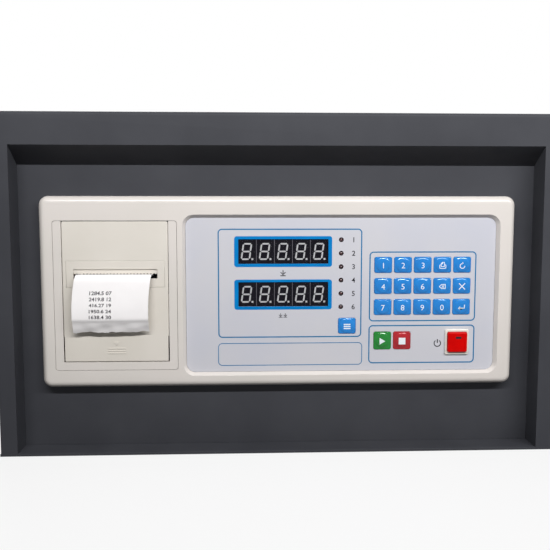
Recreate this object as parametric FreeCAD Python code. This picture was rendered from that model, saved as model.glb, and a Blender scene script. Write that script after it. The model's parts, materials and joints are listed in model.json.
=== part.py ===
import FreeCAD, Part
import math
import os

# Operator console of a hydraulic compression testing machine: a folded steel housing whose recessed
# front carries the force-measuring instrument, with its keypad, two digital readouts and receipt printer.
# Millimetres. +X is to the operator's right, -Y is the front, +Z is up. The origin is the middle of the
# footprint, on the surface that the console is bolted to.

# Housing
FASCIA_MARGIN = 17.0             # fascia seen on each side of the bezel
CONSOLE_DEPTH = 180.0
CONSOLE_HEIGHT = 255.0
SHEET = 1.5                      # folded sheet steel
BASE_PLATE = 2.0                 # thicker plate that takes the mounting bolts
RECESS_DEPTH = 20.0              # from the surround to the fascia
SIDE_STRIP = 13.0                # face of the surround beside the recess
TOP_STRIP = 24.0                 # face of the surround above the recess
TOP_SLOPE_DROP = 13.0            # height that the sloped wall above the fascia loses
RETURN_FLANGE = 12.0             # flange behind the fascia, where it is screwed
SHELL_CORNER = 4.0               # bend between the top and the sides
SHELL_FRONT_BEND = 2.5           # bend between the surround and the walls
FOLD_INSIDE = 1.0                # inside radius of each bend
SEAM = 0.1                       # gap between sheet parts that lie against each other
SINK = 0.5                       # how far a rib or post reaches into what it is moulded on
PAST = 1.0                       # how far a cutter stands past the face that it cuts
REAR_RIM = 12.0                  # the rear cover sits this deep in the housing
REAR_FLANGE = 14.0               # inward flange that the rear cover is screwed to
BASE_FLANGE = 12.0               # upstand round the base plate
MOUNT_SPACING_X = 360.0
MOUNT_SPACING_Y = 120.0
MOUNT_HOLE_RADIUS = 4.5
CABLE_HOLE_RADIUS = 24.0
CABLE_HOLE_Y = 40.0
FASCIA_SCREW_INSET = 26.0
FASCIA_SCREW_HEAD_RADIUS = 3.0
FASCIA_SCREW_RADIUS = 1.5
FASCIA_SCREW_HEAD_HEIGHT = 1.8
FASCIA_SCREW_LENGTH = 6.0
GROMMET_WALL = 3.0
GROMMET_LIP = 3.0

# Louvres of the rear cover
LOUVRE_WIDTH = 70.0
LOUVRE_DEPTH = 5.0               # how far a hood stands out
LOUVRE_HEIGHT = 8.0
LOUVRE_PITCH = 14.0
LOUVRE_ROWS = 7
LOUVRE_OFFSET_X = 95.0
LOUVRE_SLOT = 3.0
LOUVRE_SKIN = 1.2

# Instrument bezel, a moulding that laps over the fascia
PRINTER_MARGIN = 10.6            # bezel to the left of the printer
PRINTER_PANEL_GAP = 6.3          # bezel between the printer and the panel
PANEL_MARGIN = 13.9              # bezel to the right of the panel
PANEL_MARGIN_ABOVE = 16.1
PANEL_MARGIN_BELOW = 10.7
BEZEL_HEIGHT = 145.0
BEZEL_DROP = 133.0               # from the housing's top to the middle of the bezel
BEZEL_THICKNESS = 10.0
BEZEL_CORNER = 7.0
BEZEL_EDGE_ROUND = 5.0
BEZEL_WALL = 2.5
BEZEL_RIB = 1.8
BEZEL_LAP = 7.0                  # how far the bezel laps over the fascia on each side
CASE_GAP = 1.0                   # between the instrument case and the fascia's cut-out

# Instrument case behind the fascia
CASE_LENGTH = 95.0
CASE_SETBACK = 0.5               # case's front edge behind the fascia's face
CASE_SHEET = 1.2
CASE_FLANGE = 9.0
CASE_SCREW_RADIUS = 1.25
CASE_SCREW_HEAD_RADIUS = 2.3
CASE_SCREW_HEAD_HEIGHT = 1.4
BOSS_RADIUS = 3.0
CLAMP_SCREW_RADIUS = 2.0
CLAMP_SCREW_HEAD_RADIUS = 4.0
CLAMP_SCREW_HEAD_HEIGHT = 3.0
CLAMP_SCREW_SPARE = 8.0          # thread between the clamp and the screw's head
CLAMP_X = 120.0
CLAMP_REACH = 14.0
CLAMP_SCREW_HEIGHT = 8.4         # from the case to the clamp screw's axis
CLAMP_WIDTH = 16.0
CLAMP_FOOT_LENGTH = 20.0
CLAMP_SHEET = 2.0
CLAMP_GAP = 2.0                  # from the fascia's flanges to the clamp

# Membrane panel in its sloped recess. Places on the front are measured from the bezel's centre.
PANEL_CORNER = 6.5
PANEL_SLOPE = 2.2                # width of the sloped wall round the panel
PANEL_RECESS = 3.0               # depth of the panel's face behind the bezel's
PANEL_EDGE_GAP = 0.2
LEDGE = 5.0
LEDGE_THICKNESS = 2.0
OVERLAY_THICKNESS = 1.2
PLATE_THICKNESS = 1.5

# Readouts
READOUT_MARGIN = 39.75           # from the panel's left edge to the digits
FORCE_READOUT_Z = 30.7
RATE_READOUT_Z = -2.0
DIGITS = 5
DIGIT_PITCH = 13.75
DIGIT_GAP = 0.25
MODULE_HEIGHT = 18.8
DIGIT_HEIGHT = 12.8
DIGIT_WIDTH = 7.2
SEGMENT_STROKE = 1.15
SEGMENT_GAP = 0.28
SEGMENT_RELIEF = 0.1
DIGIT_SLANT = math.radians(8.0)
DIGIT_SHIFT = 0.6                # figures sit this far left of the module's middle
POINT_SIZE = 1.4
WINDOW_FILM = 0.4
READOUT_CLEARANCE = 0.3

# Status lamps
LAMP_GAP = 9.7                   # from the digits to the lamps' middle
LAMP_TOP_Z = 39.5
LAMP_PITCH = 10.28
LAMPS = 6
LAMP_RADIUS = 1.5
LAMP_NOSE = 0.9                  # length of the tapered nose
LAMP_HOLE_RADIUS = 1.85
LAMP_LEG = 0.5                   # square legs
LAMP_LEG_SPACING = 2.54
LAMP_LEG_LENGTH = 3.0

# Keys
KEY_WIDTH = 13.5
KEY_HEIGHT = 12.1
KEY_CORNER = 1.0                 # cut off each corner
KEY_PROUD = 0.5
KEY_BUMP_RADIUS = 5.6            # round bump embossed in the cap
KEY_BUMP_TOP_RADIUS = 4.2
KEY_BUMP_HEIGHT = 0.7
KEY_TRAVEL = 0.5
KEY_GAP = 0.15
KEY_STEM = 3.6                   # square stem
KEY_STEM_GAP = 0.5
KEYPAD_GAP = 25.55               # from the lamps' middle to the keypad's first column
KEYPAD_MARGIN = 19.15            # from the last column to the panel's right edge
KEY_COLUMNS = 5
KEY_COLUMN_PITCH = 15.25
KEY_ROW_Z = 20.2                 # middle of the keypad's first row
KEY_ROW_PITCH = 16.25
KEY_ROWS = (
    ("key_1", "key_2", "key_3", "key_print", "key_reset"),
    ("key_4", "key_5", "key_6", "key_delete", "key_clear"),
    ("key_7", "key_8", "key_9", "key_0", "key_enter"),
)
RUN_KEY_HEIGHT = 13.8
RUN_KEY_RISE = 23.5              # above the panel's lower edge
FUNCTION_KEY_OFFSET = 4.8        # from the lamps' middle
FUNCTION_KEY_Z = -26.6
TACT_SIDE = 6.0
TACT_BODY = 3.5
TACT_ACTUATOR_LENGTH = 2.3
TACT_ACTUATOR = 3.2              # square actuator
TACT_CLEARANCE = 0.1             # left between stem and actuator at full travel

# Power switch
SWITCH_MARGIN = 19.65            # from the switch's frame to the panel's right edge
SWITCH_RISE = 22.2               # above the panel's lower edge
SWITCH_FRAME_WIDTH = 18.5
SWITCH_FRAME_HEIGHT = 19.7
SWITCH_FRAME_THICKNESS = 1.6
SWITCH_FRAME_CORNER = 0.8
SWITCH_FRAME_EDGE = 0.4
BUTTON_WIDTH = 15.2
BUTTON_HEIGHT = 15.5
BUTTON_PROUD = 2.0
BUTTON_LENGTH = 11.0
BUTTON_TRAVEL = 3.0
BUTTON_GAP = 0.15
BUTTON_EDGE = 0.6
SWITCH_WALL = 0.7
SWITCH_DEPTH = 24.0
SWITCH_LUG = (0.8, 8.0, 4.8)     # thickness, length and width
LUG_OFFSET = 4.0

# Circuit boards
BOARD_THICKNESS = 1.6
KEYPAD_BOARD_DEPTH = 10.0        # from the panel's face to the board's front
STANDOFF_RADIUS = 2.5
STANDOFF_INSET = 4.0
MIDDLE_STANDOFF = 0.16           # place of the middle pair, as a share of the half width
BOARD_EDGE_GAP = 0.8
BOARD_SWITCH_GAP = 2.0
MAIN_BOARD_WIDTH = 150.0
MAIN_BOARD_HEIGHT = 96.0
MAIN_BOARD_X = 20.0
MAIN_BOARD_STANDOFF = 8.0
TRANSFORMER = (46.0, 40.0, 38.0)
TRANSFORMER_MARGIN = 18.0        # from the transformer to the case's side
TRANSFORMER_GAP = 6.0            # from its winding to the case's rear
TRANSFORMER_FOOT = 3.0
TRANSFORMER_FOOT_REACH = 8.0
CHIP_HEIGHT = 4.0
TERMINAL_HEIGHT = 12.0
CAPACITOR_RADIUS = 8.0
CAPACITOR_HEIGHT = 22.0

# Printer body and door
FRAME_LIP = 2.9                  # frame's flange beyond the bucket, on each side
PRINTER_MARGIN_ABOVE = 18.6      # bezel above the printer
PRINTER_MARGIN_BELOW = 13.6
PRINTER_FRAME_CORNER = 2.0
PRINTER_WINDOW_GAP = 0.25
FLANGE_THICKNESS = 2.2
BUCKET_INSET_ABOVE = 2.4         # from the frame's edge to the bucket
BUCKET_INSET_BELOW = 2.9
BUCKET_DEPTH = 64.0
BUCKET_WALL = 2.0
DOOR_BUCKET_GAP = 1.7            # from the door's edge to the bucket's inside, on each side
DOOR_INSET_ABOVE = 0.3           # from the frame's edge to the door
DOOR_INSET_BELOW = 6.5
DOOR_THICKNESS = 2.2
DOOR_CORNER = 0.8
DOOR_EDGE = 0.4
DOOR_GAP = 0.45
DOOR_LOWER_RELIEF = 0.5          # the part below the hinge is this much narrower on each side
DOOR_RIB = 1.2
DOOR_RIB_DEPTH = 4.2
HINGE_Z = -33.1
HINGE_SETBACK = 3.7              # hinge axis behind the door's face
HINGE_PIN_RADIUS = 1.2
HINGE_CLEARANCE = 0.06
PIN_SETBACK = 0.3                # pin's end inside the bucket's outer face
HINGE_EAR = 2.0
HINGE_EAR_HEIGHT = 6.0
PUSH_MARK_RAISE = 1.75           # marks above the middle of the door's lower end
PUSH_RIBS = 3
PUSH_RIB_WIDTH = 14.0
PUSH_RIB_HEIGHT = 0.8
PUSH_RIB_PITCH = 1.8
PUSH_RIB_OFFSET = 1.4
PUSH_TRIANGLE_WIDTH = 5.2
PUSH_TRIANGLE_HEIGHT = 2.8
PUSH_TRIANGLE_OFFSET = 0.8
PUSH_RELIEF = 0.3

# Paper exit
EXIT_SIDE = 5.45                 # insert beside the slot
EXIT_TOP = 24.2
EXIT_BOTTOM = 4.1
EXIT_GAP = 0.1
SLOT_SIDE_GAP = 2.5              # slot beside the paper
SLOT_TOP = 14.6
SLOT_BOTTOM = 10.7
TEAR_STEP_TOP = 17.8
TEAR_STEP_DEPTH = 1.0
TEAR_TEETH = 25
TEAR_TOOTH_DEPTH = 0.7

# Feed mechanism
PLATEN_SETBACK = 14.0            # platen axis behind the door's face
PLATEN_Z = 6.0
PLATEN_RADIUS = 5.0
PLATEN_OVERHANG = 0.75           # platen beyond the paper, at each end
SHAFT_RADIUS = 1.5
SHAFT_CLEARANCE = 0.05
SHAFT_END = 0.5                  # how far the shaft stands past its arm
ARM_THICKNESS = 2.0
ARM_GAP = 1.5
ARM_GEAR_GAP = 2.2
ARM_BELOW_AXIS = 5.0
ARM_ABOVE_AXIS = 4.0
ARM_REACH_BEHIND_AXIS = 3.5
GEAR_MODULE = 0.6
GEAR_WIDTH = 4.0
GEAR_BACKLASH = 0.14
GEAR_ADDENDUM = 0.85             # in modules
GEAR_DEDENDUM = 1.25             # in modules
PRESSURE_ANGLE = math.radians(20.0)
HALF_TURN = 180.0
PLATEN_TEETH = 20
IDLER_TEETH = 24
PINION_TEETH = 16
IDLER_DIRECTION = 45.0           # degrees from +Y towards +Z, seen from the platen
PINION_DIRECTION = 60.0          # the same, seen from the idler
GEAR_WALL_GAP = 1.8
MOTOR_RADIUS = 8.0
MOTOR_LENGTH = 15.0
MOTOR_SHAFT_RADIUS = 1.0
BULKHEAD = 1.5
MOTOR_BORE_DEPTH = 8.0
HEAD_OVERHANG = 0.25             # head beyond the paper, at each end
HEAD_THICKNESS = 6.4
HEAD_BOTTOM = -4.0
HEAD_TOP = 14.0
HEAD_BAR = 3.0
HEAD_BAR_TOP = 5.0
BULKHEAD_ABOVE_HEAD = 2.0

# Paper. Its curl runs level out of the slot, bends over, and hangs to its torn end.
PAPER_WIDTH = 57.5
PAPER_THICKNESS = 0.15
PAPER_CLEARANCE = 0.2
PAPER_WRAP_START = 10.0          # degrees above the platen's rear where the printed end starts
CURL_RISE = 10.0                 # the paper climbs by this angle on its way out
CURL_TOP_PROUD = 5.4             # distances are from the door's face, heights from the bezel's middle
CURL_TOP_BEND = 4.5
CURL_BELLY_PROUD = 8.6
CURL_BELLY_Z = -10.0
CURL_BELLY_BEND = 40.0
CURL_FOLD_PROUD = 8.8            # the last few millimetres are folded back
CURL_FOLD_Z = -20.4
CURL_FOLD_BEND = 4.0
CURL_END_PROUD = 3.2
CURL_END_Z = -29.6
ROLL_RADIUS = 19.0
ROLL_CORE_RADIUS = 6.0
ROLL_Z = -24.0
SPINDLE_CLEARANCE = 0.1

COVER_SCREW_HEAD_RADIUS = 4.0
COVER_SCREW_HEAD_HEIGHT = 2.6
COVER_SCREW_RADIUS = 1.9
COVER_SCREW_LENGTH = 8.0

# Places across the front, worked out from the sizes above, from the paper outwards
PLATEN_LENGTH = PAPER_WIDTH + 2 * PLATEN_OVERHANG
HEAD_WIDTH = PAPER_WIDTH + 2 * HEAD_OVERHANG
SLOT_WIDTH = PAPER_WIDTH + 2 * SLOT_SIDE_GAP
EXIT_WIDTH = SLOT_WIDTH + 2 * EXIT_SIDE
ARM_OUTER = PLATEN_LENGTH / 2 + ARM_GAP + ARM_THICKNESS
BUCKET_INSIDE_HALF = ARM_OUTER + ARM_GEAR_GAP + GEAR_WIDTH + GEAR_WALL_GAP
BUCKET_WIDTH = 2 * (BUCKET_INSIDE_HALF + BUCKET_WALL)
DOOR_WIDTH = 2 * (BUCKET_INSIDE_HALF - DOOR_BUCKET_GAP)
PRINTER_FRAME_WIDTH = BUCKET_WIDTH + 2 * FRAME_LIP
READOUT_WIDTH = DIGITS * DIGIT_PITCH
KEYPAD_WIDTH = (KEY_COLUMNS - 1) * KEY_COLUMN_PITCH + KEY_WIDTH
PANEL_WIDTH = (
    READOUT_MARGIN + READOUT_WIDTH + LAMP_GAP + KEYPAD_GAP + KEYPAD_WIDTH + KEYPAD_MARGIN
)
PANEL_HEIGHT = BEZEL_HEIGHT - PANEL_MARGIN_ABOVE - PANEL_MARGIN_BELOW
PANEL_CENTRE_Z = (PANEL_MARGIN_BELOW - PANEL_MARGIN_ABOVE) / 2
RUN_KEY_Z = PANEL_CENTRE_Z - PANEL_HEIGHT / 2 + RUN_KEY_RISE
SWITCH_Z = PANEL_CENTRE_Z - PANEL_HEIGHT / 2 + SWITCH_RISE
BEZEL_WIDTH = PRINTER_MARGIN + PRINTER_FRAME_WIDTH + PRINTER_PANEL_GAP + PANEL_WIDTH + PANEL_MARGIN
CONSOLE_WIDTH = BEZEL_WIDTH + 2 * (FASCIA_MARGIN + SIDE_STRIP)
PRINTER_X = -BEZEL_WIDTH / 2 + PRINTER_MARGIN + PRINTER_FRAME_WIDTH / 2
PANEL_LEFT = PRINTER_X + PRINTER_FRAME_WIDTH / 2 + PRINTER_PANEL_GAP
PANEL_CENTRE_X = PANEL_LEFT + PANEL_WIDTH / 2
READOUT_X = PANEL_LEFT + READOUT_MARGIN + READOUT_WIDTH / 2
LAMP_X = READOUT_X + READOUT_WIDTH / 2 + LAMP_GAP
FUNCTION_KEY_X = LAMP_X + FUNCTION_KEY_OFFSET
KEY_COLUMN_X = LAMP_X + KEYPAD_GAP + KEY_WIDTH / 2
SWITCH_X = PANEL_LEFT + PANEL_WIDTH - SWITCH_MARGIN - SWITCH_FRAME_WIDTH / 2

# Heights of the printer, worked out from the bezel's height
PRINTER_FRAME_TOP = BEZEL_HEIGHT / 2 - PRINTER_MARGIN_ABOVE
PRINTER_FRAME_BOTTOM = PRINTER_MARGIN_BELOW - BEZEL_HEIGHT / 2
BUCKET_TOP = PRINTER_FRAME_TOP - BUCKET_INSET_ABOVE
BUCKET_BOTTOM = PRINTER_FRAME_BOTTOM + BUCKET_INSET_BELOW
DOOR_TOP = PRINTER_FRAME_TOP - DOOR_INSET_ABOVE
DOOR_BOTTOM = PRINTER_FRAME_BOTTOM + DOOR_INSET_BELOW
PUSH_MARK_Z = (HINGE_Z + DOOR_BOTTOM) / 2 + PUSH_MARK_RAISE

# Planes and axes worked out from the sizes above
BEZEL_CENTRE_Z = CONSOLE_HEIGHT - BEZEL_DROP
FRONT_Y = -CONSOLE_DEPTH / 2
REAR_Y = CONSOLE_DEPTH / 2
FASCIA_Y = FRONT_Y + RECESS_DEPTH
BEZEL_Y = FASCIA_Y - BEZEL_THICKNESS
PANEL_Y = BEZEL_Y + PANEL_RECESS
PLATE_Y = PANEL_Y + OVERLAY_THICKNESS
LEDGE_Y = PLATE_Y + PLATE_THICKNESS
LEDGE_BACK_Y = LEDGE_Y + LEDGE_THICKNESS
KEYPAD_BOARD_Y = PANEL_Y + KEYPAD_BOARD_DEPTH
CASE_Y = FASCIA_Y + CASE_SETBACK
CASE_REAR_Y = CASE_Y + CASE_LENGTH
COVER_Y = REAR_Y - REAR_RIM
RECESS_HALF = CONSOLE_WIDTH / 2 - SIDE_STRIP
RECESS_TOP = CONSOLE_HEIGHT - TOP_STRIP
FASCIA_TOP = RECESS_TOP - TOP_SLOPE_DROP
CASE_HALF_WIDTH = BEZEL_WIDTH / 2 - BEZEL_LAP - CASE_GAP
CASE_HALF_HEIGHT = BEZEL_HEIGHT / 2 - BEZEL_LAP - CASE_GAP
PLATEN_Y = BEZEL_Y + PLATEN_SETBACK
PLATEN_AXIS_Z = BEZEL_CENTRE_Z + PLATEN_Z
PAPER_TURN_RADIUS = PLATEN_RADIUS + PAPER_CLEARANCE + PAPER_THICKNESS / 2
ROLL_Y = PLATEN_Y + PAPER_TURN_RADIUS + ROLL_RADIUS + PAPER_CLEARANCE + PAPER_THICKNESS / 2
ROLL_AXIS_Z = BEZEL_CENTRE_Z + ROLL_Z
HINGE_Y = BEZEL_Y + HINGE_SETBACK
HINGE_AXIS_Z = BEZEL_CENTRE_Z + HINGE_Z
BUCKET_LEFT = PRINTER_X - BUCKET_WIDTH / 2
BUCKET_RIGHT = PRINTER_X + BUCKET_WIDTH / 2
BUCKET_INSIDE_LEFT = BUCKET_LEFT + BUCKET_WALL
BUCKET_INSIDE_RIGHT = BUCKET_RIGHT - BUCKET_WALL
BUCKET_FRONT_Y = BEZEL_Y + FLANGE_THICKNESS
BUCKET_REAR_Y = BEZEL_Y + BUCKET_DEPTH
GEAR_LEFT = BUCKET_INSIDE_LEFT + GEAR_WALL_GAP
GEAR_RIGHT = GEAR_LEFT + GEAR_WIDTH
IDLER_DISTANCE = GEAR_MODULE * (PLATEN_TEETH + IDLER_TEETH) / 2
PINION_DISTANCE = GEAR_MODULE * (IDLER_TEETH + PINION_TEETH) / 2
IDLER_Y = PLATEN_Y + IDLER_DISTANCE * math.cos(math.radians(IDLER_DIRECTION))
IDLER_Z = PLATEN_AXIS_Z + IDLER_DISTANCE * math.sin(math.radians(IDLER_DIRECTION))
PINION_Y = IDLER_Y + PINION_DISTANCE * math.cos(math.radians(PINION_DIRECTION))
PINION_Z = IDLER_Z + PINION_DISTANCE * math.sin(math.radians(PINION_DIRECTION))


def box(x0, x1, y0, y1, z0, z1):
    """A block between two corners."""
    return Part.makeBox(x1 - x0, y1 - y0, z1 - z0, FreeCAD.Vector(x0, y0, z0))


def rod_x(radius, x0, x1, y, z):
    """A cylinder along X."""
    return Part.makeCylinder(radius, x1 - x0, FreeCAD.Vector(x0, y, z), FreeCAD.Vector(1, 0, 0))


def rod_y(radius, x, z, y0, y1):
    """A cylinder along Y."""
    return Part.makeCylinder(radius, y1 - y0, FreeCAD.Vector(x, y0, z), FreeCAD.Vector(0, 1, 0))


def rod_z(radius, x, y, z0, z1):
    """A cylinder along Z."""
    return Part.makeCylinder(radius, z1 - z0, FreeCAD.Vector(x, y, z0), FreeCAD.Vector(0, 0, 1))


def rounded_outline(x, z, width, height, corner, y):
    """A rectangle with round corners, as a wire in the plane at y."""
    half_w = width / 2
    half_h = height / 2
    diagonal = corner * math.sqrt(0.5)
    edges = []
    starts = (
        (x + half_w - corner, z + half_h, 0.0, 1.0),
        (x + half_w, z - half_h + corner, 1.0, 0.0),
        (x - half_w + corner, z - half_h, 0.0, -1.0),
        (x - half_w, z + half_h - corner, -1.0, 0.0),
    )
    centres = (
        (x + half_w - corner, z + half_h - corner, 1, 1),
        (x + half_w - corner, z - half_h + corner, 1, -1),
        (x - half_w + corner, z - half_h + corner, -1, -1),
        (x - half_w + corner, z + half_h - corner, -1, 1),
    )
    ends = (
        (x + half_w, z + half_h - corner),
        (x + half_w - corner, z - half_h),
        (x - half_w, z - half_h + corner),
        (x - half_w + corner, z + half_h),
    )
    for index in range(4):
        sx, sz = starts[index][:2]
        cx, cz, dx, dz = centres[index]
        ex, ez = ends[index]
        first = FreeCAD.Vector(sx, y, sz)
        middle = FreeCAD.Vector(cx + dx * diagonal, y, cz + dz * diagonal)
        last = FreeCAD.Vector(ex, y, ez)
        edges.append(Part.Arc(first, middle, last).toShape())
        nx, nz = starts[(index + 1) % 4][:2]
        edges.append(Part.LineSegment(last, FreeCAD.Vector(nx, y, nz)).toShape())
    return Part.Wire(edges)


def slab(x, z, width, height, corner, y0, y1):
    """A plate with round corners, from y0 back to y1."""
    face = Part.Face(rounded_outline(x, z, width, height, corner, y0))
    return face.extrude(FreeCAD.Vector(0, y1 - y0, 0))


def edges_at(shape, y):
    """The edges that lie in the plane at y."""
    return [
        edge for edge in shape.Edges
        if abs(edge.BoundBox.YMin - y) < 1e-6 and abs(edge.BoundBox.YMax - y) < 1e-6
    ]


def profile_x(points, x0, x1):
    """A prism along X from (y, z) points."""
    corners = [FreeCAD.Vector(x0, y, z) for y, z in points]
    face = Part.Face(Part.makePolygon(corners + corners[:1]))
    return face.extrude(FreeCAD.Vector(x1 - x0, 0, 0))


def profile_y(points, y0, y1):
    """A prism along Y from (x, z) points."""
    corners = [FreeCAD.Vector(x, y0, z) for x, z in points]
    face = Part.Face(Part.makePolygon(corners + corners[:1]))
    return face.extrude(FreeCAD.Vector(0, y1 - y0, 0))


def cut_cornered(x, z, width, height, corner, y0, y1):
    """A plate with its corners cut off, from y0 back to y1."""
    half_w = width / 2
    half_h = height / 2
    points = []
    for sx, sz in ((1, 1), (1, -1), (-1, -1), (-1, 1)):
        along_top = (x + sx * (half_w - corner), z + sz * half_h)
        along_side = (x + sx * half_w, z + sz * (half_h - corner))
        points += [along_top, along_side] if sx == sz else [along_side, along_top]
    return profile_y(points, y0, y1)


def square_y(x, z, side, y0, y1):
    """A square bar along Y."""
    half = side / 2
    return box(x - half, x + half, y0, y1, z - half, z + half)


def hexagon_y(x, z, radius, y0, y1):
    """A hexagonal bar along Y, given the radius to its corners."""
    turns = [math.radians(60 * corner) for corner in range(6)]
    return profile_y([(x + radius * math.cos(a), z + radius * math.sin(a)) for a in turns], y0, y1)


def hex_screw(x, z, seat, head_radius, head_height, shank_radius, tip):
    """A hexagon-headed screw along Y. It goes from its seat to its tip, with its head the other way."""
    head_end = seat - math.copysign(head_height, tip - seat)
    head = hexagon_y(x, z, head_radius, min(seat, head_end), max(seat, head_end))
    return head.fuse(rod_y(shank_radius, x, z, min(seat, tip), max(seat, tip))).removeSplitter()


def save(name, shapes):
    """Writes one node, which holds one solid or a group of them."""
    solids = []
    for shape in shapes:
        solids.extend(shape.Solids)
    result = solids[0] if len(solids) == 1 else Part.makeCompound(solids)
    result.exportStep(os.path.join("parts", name + ".step"))


def key_layout():
    """Each key's name with its middle and height on the front."""
    keys = []
    for row, names in enumerate(KEY_ROWS):
        for column, name in enumerate(names):
            x = KEY_COLUMN_X + column * KEY_COLUMN_PITCH
            keys.append((name, x, KEY_ROW_Z - row * KEY_ROW_PITCH, KEY_HEIGHT))
    keys.append(("key_function", FUNCTION_KEY_X, FUNCTION_KEY_Z, KEY_HEIGHT))
    keys.append(("key_run", KEY_COLUMN_X, RUN_KEY_Z, RUN_KEY_HEIGHT))
    keys.append(("key_stop", KEY_COLUMN_X + KEY_COLUMN_PITCH, RUN_KEY_Z, RUN_KEY_HEIGHT))
    return keys


def on_front(z):
    """Height above the base of a place given from the bezel's centre."""
    return BEZEL_CENTRE_Z + z


def wrap(inset, corner, bend):
    """The housing's outer form, set in by a distance, with its bends rounded."""
    half = CONSOLE_WIDTH / 2 - inset
    top = CONSOLE_HEIGHT - inset
    front = FRONT_Y + inset
    form = box(-half, half, front, REAR_Y, BASE_PLATE, top)
    along_y = [
        edge for edge in form.Edges
        if abs(edge.BoundBox.ZMin - top) < 1e-6 and edge.BoundBox.YLength > SHEET
    ]
    form = form.makeFillet(corner, along_y)
    front_edges = [
        edge for edge in form.Edges
        if edge.BoundBox.YMax < front + 1e-6 and edge.BoundBox.ZMax > BASE_PLATE + 1e-6
    ]
    return form.makeFillet(bend, front_edges)


def recess_void(grow):
    """The hollow in front of the fascia, grown on its three walls by a sheet's thickness or not."""
    lift = grow / math.cos(math.atan2(TOP_SLOPE_DROP, RECESS_DEPTH))
    rear = FASCIA_Y + RETURN_FLANGE
    points = (
        (FRONT_Y, BASE_PLATE),
        (FRONT_Y, RECESS_TOP + lift),
        (FASCIA_Y, FASCIA_TOP + lift),
        (rear, FASCIA_TOP + lift),
        (rear, BASE_PLATE),
    )
    return profile_x(points, -RECESS_HALF - grow, RECESS_HALF + grow)


def cover_fixings():
    """Places of the screws that hold the rear cover."""
    x = CONSOLE_WIDTH / 2 - SHEET - REAR_FLANGE / 2
    low = BASE_PLATE + REAR_FLANGE / 2
    high = CONSOLE_HEIGHT - SHEET - REAR_FLANGE / 2
    return [(side * x, z) for side in (-1, 1) for z in (low, (low + high) / 2, high)]


def console_shell():
    """Top, sides and surround in one folded sheet, with the walls of the recess welded in."""
    shell = wrap(0, SHELL_CORNER, SHELL_FRONT_BEND).cut(
        wrap(SHEET, SHELL_CORNER - SHEET, FOLD_INSIDE)
    )
    shell = shell.fuse(recess_void(SHEET)).cut(recess_void(0))
    half = CONSOLE_WIDTH / 2 - SHEET
    top = CONSOLE_HEIGHT - SHEET
    frame = box(-half, half, COVER_Y - SHEET, COVER_Y, BASE_PLATE, top)
    opening = box(
        -half + REAR_FLANGE, half - REAR_FLANGE, COVER_Y - 2 * SHEET, COVER_Y + SHEET,
        BASE_PLATE + REAR_FLANGE, top - REAR_FLANGE,
    )
    corner_limit = wrap(SHEET, SHELL_CORNER - SHEET, FOLD_INSIDE)
    shell = shell.fuse(frame.cut(opening).common(corner_limit))
    for x, z in cover_fixings():
        shell = shell.cut(rod_y(COVER_SCREW_RADIUS + SEAM / 2, x, z, COVER_Y - 2 * SHEET, COVER_Y + SHEET))
    return shell.cut(fascia_screw_holes()).removeSplitter()


def fascia_screws():
    """Four screws from the fascia's side flanges into the walls of the recess."""
    screws = []
    y = FASCIA_Y + SHEET + (RETURN_FLANGE - SHEET) / 2
    seat = RECESS_HALF - SEAM - SHEET
    for side in (-1, 1):
        for z in (BASE_PLATE + FASCIA_SCREW_INSET, FASCIA_TOP - FASCIA_SCREW_INSET):
            screw = hex_screw(
                0, 0, seat, FASCIA_SCREW_HEAD_RADIUS, FASCIA_SCREW_HEAD_HEIGHT, FASCIA_SCREW_RADIUS,
                seat + FASCIA_SCREW_LENGTH,
            )
            screw.rotate(FreeCAD.Vector(0, 0, 0), FreeCAD.Vector(0, 0, 1), -90 * side)
            screw.translate(FreeCAD.Vector(0, y, z))
            screws.append(screw)
    return screws


def fascia_screw_holes():
    """Clearance holes for the fascia's screws, right across the recess."""
    y = FASCIA_Y + SHEET + (RETURN_FLANGE - SHEET) / 2
    reach = RECESS_HALF + 2 * SHEET
    heights = (BASE_PLATE + FASCIA_SCREW_INSET, FASCIA_TOP - FASCIA_SCREW_INSET)
    low, high = [rod_x(FASCIA_SCREW_RADIUS + SEAM / 2, -reach, reach, y, z) for z in heights]
    return low.fuse(high)


def fascia_panel():
    """The recessed plate behind the bezel, a shallow tray with flanges to the rear."""
    half = RECESS_HALF - SEAM
    bottom = BASE_PLATE + SEAM
    top = FASCIA_TOP - SEAM
    rear = FASCIA_Y + RETURN_FLANGE
    tray = box(-half, half, FASCIA_Y, rear, bottom, top)
    hollow = box(-half + SHEET, half - SHEET, FASCIA_Y + SHEET, rear, bottom + SHEET, top - SHEET)
    cut_out = box(
        -CASE_HALF_WIDTH - CASE_GAP, CASE_HALF_WIDTH + CASE_GAP, FASCIA_Y, rear,
        on_front(-CASE_HALF_HEIGHT - CASE_GAP), on_front(CASE_HALF_HEIGHT + CASE_GAP),
    )
    return tray.cut(hollow).cut(cut_out).cut(fascia_screw_holes())


def base_plate():
    """The plate under everything, with an upstand inside the shell, bolt holes and the cable hole."""
    half_x = CONSOLE_WIDTH / 2
    plate = box(-half_x, half_x, FRONT_Y, REAR_Y, 0, BASE_PLATE)
    outer = half_x - SHEET - SEAM
    front = FASCIA_Y + RETURN_FLANGE + SEAM
    rear = COVER_Y - SHEET - SEAM
    top = BASE_PLATE + BASE_FLANGE
    for side in (-1, 1):
        near = side * outer
        far = side * (outer - SHEET)
        plate = plate.fuse(box(min(near, far), max(near, far), front, rear, 0, top))
    for x in (-MOUNT_SPACING_X / 2, MOUNT_SPACING_X / 2):
        for y in (-MOUNT_SPACING_Y / 2, MOUNT_SPACING_Y / 2):
            plate = plate.cut(rod_z(MOUNT_HOLE_RADIUS, x, y, -1, top))
    plate = plate.cut(rod_z(CABLE_HOLE_RADIUS, 0, CABLE_HOLE_Y, -1, top))
    return plate.removeSplitter()


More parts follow.
